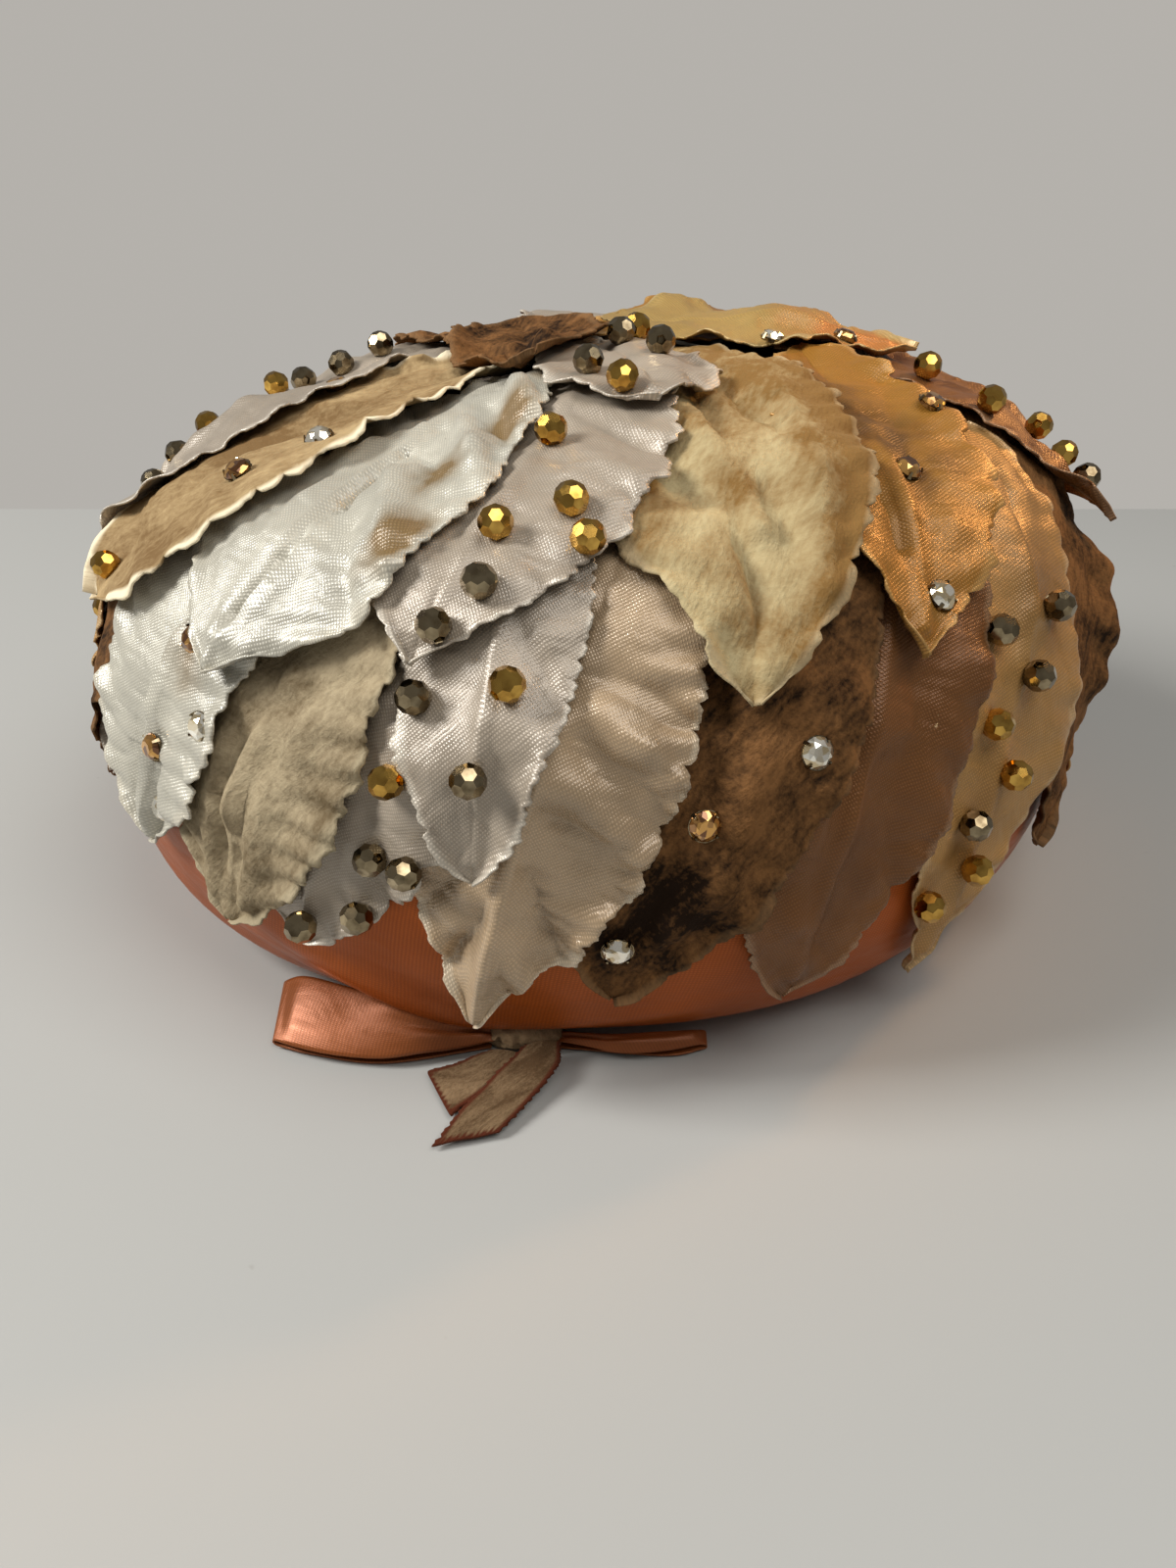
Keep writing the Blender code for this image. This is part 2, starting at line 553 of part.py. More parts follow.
def make_leaves(materials, collection, trims):
    floor = np.where(CELL_ARC < BAND_TOP_ARC - UNDER_LEAVES, -crown_inset(CELL_ARC), -band_inset(CELL_ARC))
    for values in LEAVES:
        leaf = dict(zip(LEAF_FIELDS, values))
        builder = lay_leaf(leaf, floor)
        leaf_tree = BVHTree.FromBMesh(builder)
        obj = add_leaf(builder, "leaf_" + leaf["name"], materials[leaf["cloth"]], collection)
        beads = trim_spots(leaf, BEADS, BEADED_BEHIND)
        stones = trim_spots(leaf, STONES, STONED_BEHIND)
        if beads or stones:
            sew_trims(obj, beads, stones, leaf_tree, trims)


def add_leaf(builder, name, material, collection):
    mesh = bpy.data.meshes.new(name)
    builder.to_mesh(mesh)
    builder.free()
    mesh.materials.append(material)
    mesh.shade_smooth()
    obj = bpy.data.objects.new(name, mesh)
    collection.objects.link(obj)
    solidify(obj, LEAF_WALL, 1)
    return obj


def make_strip(name, stations, material, collection, columns=2):
    """A ribbon through stations of two edge points each: a grid bent to shape and given its thickness."""
    builder, places = grid_mesh(len(stations) - 1, columns)
    for vertex, (row, column) in zip(builder.verts, places):
        front, rear = stations[row]
        vertex.co = Vector(front).lerp(Vector(rear), column / columns) * MM
    obj = add_object(builder, name, material, collection)
    solidify(obj, RIBBON_WALL, 0)
    return obj


def make_knot(material, collection):
    """The velvet ribbon's turn round the bow's middle: a loft through five upright sections."""
    builder = bmesh.new()
    rings = []
    for front, rear, low, front_top, rear_top, x in KNOT:
        outline = (
            (front + KNOT_FOOT, low),
            (front, (low + front_top) / 2),
            (front + KNOT_SHOULDER, front_top),
            (rear, rear_top),
            (rear, low),
        )
        rings.append([builder.verts.new(Vector((x, y, z)) * MM) for y, z in outline])
    for first, second in zip(rings, rings[1:]):
        for index, corner in enumerate(first):
            following = (index + 1) % len(first)
            builder.faces.new((corner, first[following], second[following], second[index]))
    builder.faces.new(rings[0])
    builder.faces.new(rings[-1])
    return add_object(builder, "bow_knot", material, collection)


def make_bow(materials, collection):
    for name, table in (("bow_loop_left", LOOP_LEFT), ("bow_loop_right", LOOP_RIGHT)):
        stations = [((x, front, front_z), (x, rear, rear_z)) for x, front, front_z, rear, rear_z in table]
        make_strip(name, stations, materials["satin_copper"], collection)
    for name, table in (("ribbon_tail_left", TAIL_LEFT), ("ribbon_tail_right", TAIL_RIGHT)):
        stations = [((x0, y0, level), (x1, y1, level)) for x0, y0, x1, y1, level in table]
        make_strip(name, stations, materials["ribbon_velvet"], collection)
    make_knot(materials["ribbon_velvet"], collection)


def main():
    clear_scene()
    collection = new_collection("pillbox_hat")
    trims = new_collection("trims_to_join", hidden=True)
    materials = {name: new_material(name, color, roughness) for name, (color, roughness) in CLOTHS.items()}
    make_crown(materials["crown_cloth"], collection)
    make_band(materials["satin_copper"], collection)
    make_leaves(materials, collection, trims)
    make_bow(materials, collection)
    centre = bpy.data.objects.new("hat_centre", None)
    centre.location = (HAT_CENTRE[0] * MM, HAT_CENTRE[1] * MM, 0)
    collection.objects.link(centre)
    for obj in list(collection.objects) + list(trims.objects):
        if obj is not centre:
            obj.parent = centre


main()
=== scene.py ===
"""Pillbox hat of overlapping satin and velvet leaves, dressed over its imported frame.

Arcs are measured from the top centre along the finished outline, azimuths about the vertical axis from +X.
Sizes are in millimetres and degrees unless a name says otherwise.
"""

import math

import bmesh
import bpy
import numpy as np
from mathutils import Matrix, Vector


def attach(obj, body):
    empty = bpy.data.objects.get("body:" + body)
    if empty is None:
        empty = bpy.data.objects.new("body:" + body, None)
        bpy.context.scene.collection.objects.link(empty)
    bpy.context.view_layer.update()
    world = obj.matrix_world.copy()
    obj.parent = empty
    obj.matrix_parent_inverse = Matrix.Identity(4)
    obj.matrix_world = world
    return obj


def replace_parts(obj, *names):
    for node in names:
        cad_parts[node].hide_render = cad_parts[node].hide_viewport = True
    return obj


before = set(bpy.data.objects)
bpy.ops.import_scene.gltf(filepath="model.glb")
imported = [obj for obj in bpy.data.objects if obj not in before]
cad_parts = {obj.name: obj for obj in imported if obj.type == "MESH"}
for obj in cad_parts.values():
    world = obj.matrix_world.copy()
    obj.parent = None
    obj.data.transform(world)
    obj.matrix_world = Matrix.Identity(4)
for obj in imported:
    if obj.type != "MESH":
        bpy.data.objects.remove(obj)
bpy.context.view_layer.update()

# Camera: held a hand's length in front of the hat and above it, looking down at the leaves, so that the near
# side looms large and the far rim is hidden.
MM = 0.001
HAT_CENTRE = (-0.2, 5.5)
LENS = 27.05
CAMERA_BACK = 274.4
CAMERA_UP = 155.9
CAMERA_TILT = 29.5


def placed(name, data):
    """An object in the scene for this mesh, lamp or camera."""
    obj = bpy.data.objects.new(name, data)
    bpy.context.scene.collection.objects.link(obj)
    return obj


camera_data = bpy.data.cameras.new("camera_in_front")
camera_data.lens = LENS
camera_data.clip_start = 0.01
camera = placed("camera_in_front", camera_data)
camera.location = (HAT_CENTRE[0] * MM, (HAT_CENTRE[1] - CAMERA_BACK) * MM, CAMERA_UP * MM)
camera.rotation_euler = (math.radians(90 - CAMERA_TILT), 0, 0)
bpy.context.scene.camera = camera

# Crown: a stiffened cloth dome blocked to shape, the base that every leaf is sewn to. Only its inside shows,
# when the hat is turned over.
SKIN_RADIUS = 115.0
SKIN_HEIGHT = 114.4
WIDEST_AT = 43.0
RIM_RADIUS = 90.0
SHOULDER = 2.35
LEAN = 3.0
RISE = 8.0
CROWN_INSET = 5.3
CROWN_DIP = 3.0
DIP_ARC = 110.0
CROWN_WALL = 2.2
BAND_WALL = 1.5
BAND_TOP_ARC = 128.0
RIM_ROLL = 14.0
GAP = 0.3
TURN_STEPS = 144


def outline_table(samples=240):
    """The finished outline from top centre to rim: radius, height, outward normal and arc."""
    upper = np.linspace(math.pi / 2, 0.0, samples)
    lower = np.linspace(0.0, math.pi / 2, samples // 2)[1:]
    dome_radius = SKIN_RADIUS * np.cos(upper).clip(0) ** (2 / SHOULDER)
    dome_height = WIDEST_AT + (SKIN_HEIGHT - WIDEST_AT) * np.sin(upper).clip(0) ** (2 / SHOULDER)
    radius = np.concatenate([dome_radius, RIM_RADIUS + (SKIN_RADIUS - RIM_RADIUS) * np.cos(lower)])
    height = np.concatenate([dome_height, WIDEST_AT * (1 - np.sin(lower))])
    arc = np.concatenate([[0.0], np.cumsum(np.hypot(np.diff(radius), np.diff(height)))])
    along = np.column_stack([np.gradient(radius, arc), np.gradient(height, arc)])
    along /= np.linalg.norm(along, axis=1)[:, None]
    return radius, height, -along[:, 1], along[:, 0], arc


OUT_RADIUS, OUT_HEIGHT, OUT_ACROSS, OUT_UP, OUT_ARC = outline_table()
RIM_ARC = OUT_ARC[-1]


def on_outline(arc, lift):
    """Radius and height at these arcs, lifted off the finished outline."""
    radius = np.interp(arc, OUT_ARC, OUT_RADIUS) + lift * np.interp(arc, OUT_ARC, OUT_ACROSS)
    height = np.interp(arc, OUT_ARC, OUT_HEIGHT) + lift * np.interp(arc, OUT_ARC, OUT_UP)
    return radius, height


def on_hat(azimuth, arc, lift):
    """Points over the finished outline in metres, azimuth in radians."""
    radius, height = on_outline(arc, lift)
    return turned_points(azimuth, radius, height)


def threes(first, second, third):
    """Three grids side by side, as the parts of one grid of points."""
    return np.stack(np.broadcast_arrays(first, second, third), axis=-1)


def turned_points(azimuth, radius, height):
    """Points in metres: the crown leans a little to +X and stands higher on that side."""
    x = radius * np.cos(azimuth)
    lean = LEAN * (np.maximum(height, 0) / SKIN_HEIGHT) ** 2
    rise = RISE * x / SKIN_RADIUS * np.clip((height - WIDEST_AT) / (SKIN_HEIGHT - WIDEST_AT), 0, 1)
    return threes(x + lean + HAT_CENTRE[0], radius * np.sin(azimuth) + HAT_CENTRE[1], height + rise) * MM


def band_depth(arc):
    """How far the band's outer face lies under the finished outline."""
    down = np.clip((arc - BAND_TOP_ARC) / (RIM_ARC - RIM_ROLL - BAND_TOP_ARC), 0, 1)
    return (CROWN_INSET - GAP - BAND_WALL) * (1 - down * down * (3 - 2 * down))


def crown_depth(arc):
    dip = np.clip(1 - np.asarray(arc, float) / DIP_ARC, 0, 1)
    return band_depth(arc) + BAND_WALL + GAP + CROWN_DIP * dip**1.5


def woven_grid(name, points, place, tones, closed_round=False, wall=0.4, out_of=(0.0, 0.0, 0.02)):
    """A cloth mesh from a grid of points, facing away from out_of, with a weave place and tones on each."""
    rows, columns = points.shape[:2]
    index = np.arange(rows * columns).reshape(rows, columns)
    if closed_round:
        index = np.column_stack([index, index[:, :1]])
    quads = np.stack([index[:-1, :-1], index[1:, :-1], index[1:, 1:], index[:-1, 1:]], axis=-1)
    quads = quads.reshape(-1, 4)
    flat = points.reshape(-1, 3)
    corner = flat[quads]
    facing = np.cross(corner[:, 2] - corner[:, 0], corner[:, 3] - corner[:, 1])
    if ((corner.mean(axis=1) - np.array(out_of)) * facing).sum() < 0:
        quads = quads[:, ::-1]
    mesh = bpy.data.meshes.new(name)
    mesh.from_pydata(flat.tolist(), [], quads.tolist())
    for label, values in (("weave_place", place), ("cloth_tones", tones)):
        layer = mesh.attributes.new(label, "FLOAT_VECTOR", "POINT")
        layer.data.foreach_set("vector", np.ascontiguousarray(values, np.float32).ravel())
    mesh.shade_smooth()
    obj = placed(name, mesh)
    thickness = obj.modifiers.new("thickness", "SOLIDIFY")
    thickness.thickness = wall * MM
    thickness.offset = 1
    return obj


def new_finish(name):
    """A finish to work on: the material, its nodes, and its surface shader."""
    material = bpy.data.materials.new(name)
    material.use_nodes = True
    return material, material.node_tree, material.node_tree.nodes["Principled BSDF"]


def feed(tree, made, sockets):
    """Sets each socket to a value, or links another node's output to it."""
    for key, value in sockets.items():
        if isinstance(value, bpy.types.NodeSocket):
            tree.links.new(value, made.inputs[key])
        else:
            made.inputs[key].default_value = value


def node(tree, kind, sockets=(), **settings):
    """A shader node with its settings made and its sockets fed."""
    made = tree.nodes.new("ShaderNode" + kind)
    for key, value in settings.items():
        setattr(made, key, value)
    feed(tree, made, dict(sockets))
    return made


def reckon(tree, way, first, second):
    return node(tree, "Math", {0: first, 1: second}, operation=way).outputs[0]


def blend_colours(tree, share, first, second, way="MIX"):
    """Factor, A and B are sockets 0, 6 and 7 of a colour mix, and 2 is its colour output."""
    ends = [value if isinstance(value, bpy.types.NodeSocket) else (*value, 1) for value in (first, second)]
    return node(tree, "Mix", {0: share, 6: ends[0], 7: ends[1]}, data_type="RGBA", blend_type=way).outputs[2]


def cloth_places(tree):
    """The weave's own coordinates in millimetres, and the two tones: stains with painted shade, and edge."""
    place = node(tree, "Attribute", attribute_name="weave_place").outputs["Vector"]
    tones = node(tree, "Attribute", attribute_name="cloth_tones").outputs["Vector"]
    return place, node(tree, "SeparateXYZ", {"Vector": tones}).outputs


def spread(tree, value, low, high, to_low, to_high):
    settings = {"Value": value, "From Min": low, "From Max": high, "To Min": to_low, "To Max": to_high}
    return node(tree, "MapRange", settings).outputs["Result"]


def turned_about(tree, place, turn):
    sockets = {"Vector": place, "Angle": math.radians(turn)}
    return node(tree, "VectorRotate", sockets, rotation_type="Z_AXIS").outputs[0]


def clouding(tree, place, scale, detail, **more):
    """Soft noise over the cloth, so many clouds to the millimetre."""
    return node(tree, "TexNoise", {"Vector": place, "Scale": scale, "Detail": detail, **more}).outputs["Fac"]


def yarns(tree, place, turn, fine, long=0.35, detail=2.0):
    """Threads at an angle across the cloth: noise drawn out along them, fine per millimetre across."""
    sockets = {0: turned_about(tree, place, turn), 1: (long, fine, 1.0)}
    drawn = node(tree, "VectorMath", sockets, operation="MULTIPLY").outputs[0]
    return clouding(tree, drawn, 1.0, detail)


def raised(tree, height, strength, distance, over=None):
    """Fine relief in the surface, on top of coarser relief where over gives it."""
    sockets = {"Height": height, "Strength": strength, "Distance": distance}
    if over is not None:
        sockets["Normal"] = over
    return node(tree, "Bump", sockets).outputs[0]


def crown_cloth():
    """Open stiff cloth: coarse threads both ways, dark between them."""
    material, tree, shader = new_finish("crown_cloth")
    place, _ = cloth_places(tree)
    threads = reckon(tree, "MAXIMUM", *[yarns(tree, place, across, 1.6, 0.2) for across in (0, 90)])
    share = spread(tree, threads, 0.45, 0.7, 0, 1)
    feed(tree, shader, {
        "Base Color": blend_colours(tree, share, (0.07, 0.05, 0.035), (0.26, 0.20, 0.145)),
        "Roughness": 0.9,
        "Normal": raised(tree, threads, 0.6, 0.0004),
    })
    return material


def dress(piece, finish):
    """Gives a piece its finish. Nothing on the hat moves, so every piece rides on its one body."""
    piece.data.materials.append(finish)
    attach(piece, "root")


crown_arcs = np.concatenate([[0.4], np.linspace(8, RIM_ARC - 1.0, 44)])
turn = np.arange(TURN_STEPS) / TURN_STEPS * math.tau
crown_points = on_hat(turn[None, :], crown_arcs[:, None], -crown_depth(crown_arcs)[:, None] - CROWN_WALL)
crown_place = threes(crown_arcs[:, None] * np.cos(turn), crown_arcs[:, None] * np.sin(turn), 0 * turn)
crown = woven_grid("crown_dome", crown_points, crown_place, 0 * crown_place, True, wall=CROWN_WALL)
fill = bmesh.new()
fill.from_mesh(crown.data)
top_hole = [e for e in fill.edges if e.is_boundary and e.verts[0].co.z > 0.08]
bmesh.ops.holes_fill(fill, edges=top_hole, sides=0)
fill.to_mesh(crown.data)
fill.free()
crown.data.shade_smooth()
dress(crown, crown_cloth())
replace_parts(crown, "crown")

# Band: copper satin cut on the bias, eased round the crown under the leaves, rolled in under the rim and
# caught inside, with soft drag folds where it was pulled in at the front.
FOLD_RADIUS = 98.0
FOLD_HALF = 3.6
BULGE_AZIMUTH = -116
BULGE_ARC = 187
BULGE_HEIGHT = 3.2
BULGE_ROUND = 0.50
BULGE_DOWN = 12
BAND_FOLDS = (
    # azimuth, arc, slant, length, height
    (-112, 183, 28, 26, 1.5),
    (-121, 190, 22, 22, -1.1),
    (-101, 190, 10, 20, 0.9),
    (-90, 187, -8, 26, 1.0),
    (-74, 190, -14, 24, 0.8),
    (-60, 186, -20, 26, 0.9),
    (-40, 188, 16, 22, 0.8),
    (-140, 182, 20, 24, 0.9),
    (30, 186, 18, 24, 0.9),
    (75, 188, -16, 22, 0.8),
    (120, 186, 14, 26, 0.9),
    (165, 188, -18, 22, 0.8),
)


def band_relief(azimuth, arc):
    """The drag folds: long low ridges lying aslant in the satin, none at the rim where the hat rests."""
    lift = 0.35 * np.sin(3 * azimuth + arc / 17) * np.sin(arc / 11)
    round_bulge = (azimuth - math.radians(BULGE_AZIMUTH)) / BULGE_ROUND
    lift = lift + BULGE_HEIGHT * np.exp(-(round_bulge**2) - ((arc - BULGE_ARC) / BULGE_DOWN) ** 2)
    for fold_azimuth, fold_arc, slant, length, height in BAND_FOLDS:
        around = (azimuth - math.radians(fold_azimuth) + math.pi) % math.tau - math.pi
        around = around * FOLD_RADIUS
        down = arc - fold_arc
        lean = math.radians(slant)
        run = around * math.cos(lean) + down * math.sin(lean)
        side = down * math.cos(lean) - around * math.sin(lean)
        lift = lift + height * np.exp(-((run / length) ** 2) - (side / FOLD_HALF) ** 2)
    return lift * np.clip((RIM_ARC - 1 - arc) / 8, 0, 1)


def satin_finish(
    name, main, stain_and_shade, edge, roughness,
    pitch=0.46, turned=50, rib=0.00010, crumple=0.0009, sheen=0.12, metal=0.12, shine=0.75,
):
    """Satin: ribs crossed by picks, small creases, clouding, a second colour for stains and painted shade,
    and a frayed edge.
    """
    material, tree, shader = new_finish(name)
    place, tones = cloth_places(tree)
    on_grain = turned_about(tree, place, turned)
    threads = []
    for direction, turns_a_pitch, wander, finer in (("X", 0.314, 1.6, 0.5), ("Y", 0.24, 2.2, 0.6)):
        thread = {"Vector": on_grain, "Scale": turns_a_pitch / pitch, "Distortion": wander}
        thread |= {"Detail": 2.0, "Detail Scale": finer}
        wave = node(tree, "TexWave", thread, wave_type="BANDS", bands_direction=direction)
        threads.append(wave.outputs["Fac"])
    weave = reckon(tree, "MULTIPLY", *threads)
    silk = yarns(tree, place, turned + 90, 0.5, 0.10, 3.0)
    blotching = spread(tree, clouding(tree, place, 0.16, 4.0), 0.35, 0.65, 0.55, 1.25)
    # The second colour fills the leaf's patches: stains, and painted golden shade on some leaves.
    patch = reckon(tree, "MULTIPLY", tones[0], blotching)
    base = blend_colours(tree, spread(tree, patch, 0.12, 0.9, 0, 1), main, stain_and_shade)
    base = blend_colours(tree, spread(tree, tones[1], 0.0, 1.0, 0, 1), base, edge)
    grain = spread(tree, weave, 0.0, 1.0, 0.84, 1.30)
    clouds = spread(tree, clouding(tree, place, 0.055, 3.0), 0.3, 0.7, 0.84, 1.10)
    shade = reckon(tree, "MULTIPLY", grain, clouds)
    shade_colour = node(tree, "CombineColor", {"Red": shade, "Green": shade, "Blue": shade}).outputs[0]
    creases = clouding(tree, place, 0.13, 5.0, Roughness=0.5, Distortion=0.5)
    feed(tree, shader, {
        "Base Color": blend_colours(tree, 1.0, base, shade_colour, "MULTIPLY"),
        "Roughness": spread(tree, silk, 0.3, 0.7, roughness - 0.05, roughness + 0.09),
        "Metallic": metal,
        "Anisotropic": 0.4,
        "Specular IOR Level": shine,
        "Sheen Weight": sheen,
        "Sheen Roughness": 0.4,
        "Sheen Tint": (*[0.5 + 0.5 * part for part in main], 1),
        "Normal": raised(tree, weave, 0.6, rib, raised(tree, creases, 0.8, crumple)),
    })
    return material


COPPER = (0.38, 0.086, 0.013)
COPPER_WEAVE = {"roughness": 0.36, "pitch": 0.5, "turned": 80, "rib": 0.00002, "sheen": 0.0}
copper_satin = satin_finish(
    "copper_satin", COPPER, (0.33, 0.07, 0.015), COPPER, crumple=0.0003, metal=0.35, shine=0.2, **COPPER_WEAVE
)

UNDER_ROLL = (
    # radius, height
    (88.0, 0.0), (86.0, 0.05), (84.3, 0.35), (83.0, 1.4), (82.2, 3.0), (82.3, 4.6), (83.4, 6.6),
)
BAND_SHEET = 0.4
band_arcs = np.linspace(BAND_TOP_ARC - 4, RIM_ARC, 54)
under_roll = np.array(UNDER_ROLL)
lip_arcs = np.linspace(RIM_ARC - 4, 195, 5)
lip_depth = crown_depth(lip_arcs) + CROWN_WALL + GAP + BAND_WALL
lip_radius, lip_height = on_outline(lip_arcs, -lip_depth)
turn_grid, arc_grid = np.meshgrid(turn, band_arcs)
outer_lift = band_relief(turn_grid, arc_grid) - band_depth(arc_grid) - BAND_SHEET
outer_radius, outer_height = on_outline(arc_grid, outer_lift)
inner_radius = np.concatenate([under_roll[:, 0], lip_radius[1:]])[:, None] + 0 * turn
inner_height = np.concatenate([under_roll[:, 1], lip_height[1:]])[:, None] + 0 * turn
band_radius = np.concatenate([outer_radius, inner_radius])
band_height = np.concatenate([outer_height, inner_height]).clip(0)
band_points = turned_points(turn[None, :], band_radius, band_height)
band_steps = np.diff(np.stack([band_radius[:, 0], band_height[:, 0]]), axis=1)
band_run = np.concatenate([[0], np.cumsum(np.hypot(*band_steps))])
band_place = threes(turn[None, :] * 100, band_run[:, None], 0.0)
band_middle = (0, 0, 0.03)
band = woven_grid("band_of_satin", band_points, band_place, 0 * band_place, True, BAND_SHEET, band_middle)
band.modifiers["thickness"].offset = 0
dress(band, copper_satin)
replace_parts(band, "satin_band")

# Leaves: forty die-cut leaves of satin and velvet, their edges in small scallops, a midrib and side veins
# pressed in with a hot iron. Each is sewn near its base and laid over the ones below, and its tip and edges
# curl.
LEAF_FIELDS = "name cloth base_azimuth base_arc tip_azimuth tip_arc width".split()
LEAF_FIELDS += "bow widest taper edge_curl tip_curl puff pleats".split()
# Bow to puff of the plain leaves of the low and the middle ring
LOW = (0, 0.47, 0.15, 1.1, 1.4, 0.6)
MID = (0, 0.47, 0.4, 1.1, 1.6, 0.8)
LEAVES = (
    ("low_01", "satin_grey", -138, 76, -149, 158, 44, 0, 0.47, 0.15, 1.1, 1.2, 0.6, 0.1),
    ("low_02", "velvet_brown", -142, 76, -163, 172, 44, *LOW, 0.1),
    ("low_03", "satin_tan", 198, 76, 179, 176, 46, *LOW, 0.2),
    ("low_04", "velvet_olive", 178, 76, 159, 172, 44, *LOW, 0.1),
    ("low_05", "satin_mauve", 159, 76, 139, 178, 46, *LOW, 0.2),
    ("low_06", "satin_grey", 139, 76, 120, 173, 44, *LOW, 0.1),
    ("low_07", "velvet_brown", 120, 76, 100, 178, 46, *LOW, 0.1),
    ("low_08", "satin_champagne", 100, 76, 81, 174, 46, *LOW, 0.3),
    ("low_09", "velvet_olive", 81, 76, 61, 178, 44, *LOW, 0.1),
    ("low_10", "satin_tan", 61, 76, 42, 172, 44, *LOW, 0.2),
    ("low_11", "satin_mauve", 42, 76, 22, 178, 46, *LOW, 0.1),
    ("low_12", "velvet_brown", 22, 76, 3, 173, 46, *LOW, 0.1),
    ("low_13", "satin_gold", 2, 76, -17, 176, 44, *LOW, 0.2),
    ("low_14", "velvet_brown", -12, 66, -35, 172, 46, 0, 0.47, 0.15, 2.0, 1.4, 0.8, 0.1),
    ("low_15", "satin_tan", -22, 83, -56, 184, 41, 0, 0.47, 0.4, 1.3, 1.6, 0.6, 0.2),
    ("low_16", "satin_mauve", -44, 72, -72, 178, 46, 0, 0.47, 0.15, 1.1, 1.8, 0.7, 0.15),
    ("low_17", "velvet_brown", -62, 74, -88, 173, 50, 1.5, 0.47, 0.15, 1.3, 1.2, 1.0, 0.2),
    ("low_18", "satin_champagne", -86, 84, -100, 177, 46, 3, 0.47, 0.5, 1.4, 1.6, 1.0, 0.6),
    ("low_19", "satin_grey", -98, 80, -117, 170, 50, 0, 0.47, 0.15, 1.0, 0.8, 0.8, 0.15),
    ("low_20", "satin_grey", -99, 62, -99.5, 148, 30, 0, 0.47, 0.15, 1.0, 1.2, 0.6, 0.2),
    ("low_21", "velvet_olive", -111, 80, -126, 171, 48, 0, 0.52, 0.15, 1.3, 1.2, 0.9, 0.7),
    ("low_22", "satin_silver", -128, 76, -138, 163, 46, 0, 0.52, 0.15, 1.4, 1.2, 0.7, 0.5),
    ("mid_01", "velvet_beige", -145, 42, 152, 120, 46, 0, 0.47, 0.4, 1.1, 1.4, 0.8, 0.1),
    ("mid_02", "satin_champagne", 176, 42, 120, 122, 46, *MID, 0.3),
    ("mid_03", "velvet_brown", 146, 42, 86, 120, 46, *MID, 0.1),
    ("mid_04", "satin_grey", 114, 42, 52, 122, 46, *MID, 0.1),
    ("mid_05", "velvet_cream", 78, 42, 16, 120, 46, *MID, 0.2),
    ("mid_06", "satin_mauve", 30, 40, -17, 119, 38, 0, 0.47, 0.4, 1.4, 4.0, 0.7, 0.2),
    ("mid_07", "satin_gold", -4, 44, -60, 119, 41, 0, 0.58, 0.4, 1.3, 1.8, 0.8, 0.15),
    ("mid_08", "velvet_cream", 5, 9, -77, 121, 54, 2, 0.47, 0.25, 1.3, 1.6, 1.3, 0.35),
    ("mid_09", "satin_grey", -75, 10, -106, 114, 51, 4, 0.6, 0.4, 1.3, 1.4, 0.9, 0.15),
    ("mid_10", "satin_silver", -117, 16, -126, 121, 52, 4, 0.66, 0.3, 1.3, 1.2, 1.0, 0.45),
    ("mid_11", "velvet_beige", -160, 16, -157, 123, 60, 7, 0.64, 0.15, 2.5, 1.4, 0.9, 0.1),
    ("mid_12", "satin_grey", 150, 34, -168, 124, 40, 0, 0.47, 0.4, 1.3, 1.2, 0.7, 0.2),
    ("top_01", "velvet_brown", -135, 8, 130, 76, 40, 0, 0.47, 0.4, 1.1, 1.4, 0.8, 0.1),
    ("top_02", "satin_grey", 170, 8, 80, 78, 40, 0, 0.47, 0.4, 1.1, 1.4, 0.8, 0.2),
    ("top_03", "satin_gold", 120, 10, 36, 80, 38, 0, 0.47, 0.4, 1.3, 1.6, 0.8, 0.2),
    ("top_04", "satin_olive", 90, 14, 8, 74, 38, 0, 0.47, 0.4, 1.3, 1.6, 0.8, 0.2),
    ("top_05", "satin_grey", 135, 7, -80, 58, 34, 0, 0.62, 0.15, 1.1, 1.4, 0.8, 0.2),
    ("top_06", "velvet_brown", 128, 30, -110, 38, 34, 0, 0.47, 0.2, 1.7, 1.0, 0.9, 0.15),
)
LEAF_ROWS = 190
LEAF_WALL = 0.42
BETWEEN_LEAVES = 0.12
LEAST_LIFT = 0.45
SCALLOP_PITCH = 4.2
SCALLOP_OF_LEAF = {
    "low_18": 6.2, "low_19": 6.2, "low_20": 3.4, "low_21": 4.6,
    "mid_08": 6.4, "mid_09": 5.8, "mid_10": 3.6, "mid_11": 8.0,
}
FINE_TOOTH = 1.9
BASE_FULLNESS = 0.5
VEIN_PITCH = 12.5
PLEAT_PITCH = 6.3
# Width and depth of the ironed midrib, then of the side veins
IRONED = {"satin": (0.9, 0.6, 0.8, 0.36), "velvet": (1.5, 0.55, 1.3, 0.40)}
ACROSS_HALF = (0.0, 0.035, 0.09, 0.18, 0.3, 0.43, 0.56, 0.68, 0.79, 0.87, 0.93, 0.97, 1.0)
ACROSS = np.array([-place for place in ACROSS_HALF[:0:-1]] + list(ACROSS_HALF))
FIELD_REACH = 212.0
# Where each kind of unevenness starts its draws, so that no two leaves are alike
SEEDS = {"broad": 100, "fine": 300, "lift": 500, "lobe": 700, "pleat": 900, "ruffle": 1100, "nick": 1300}
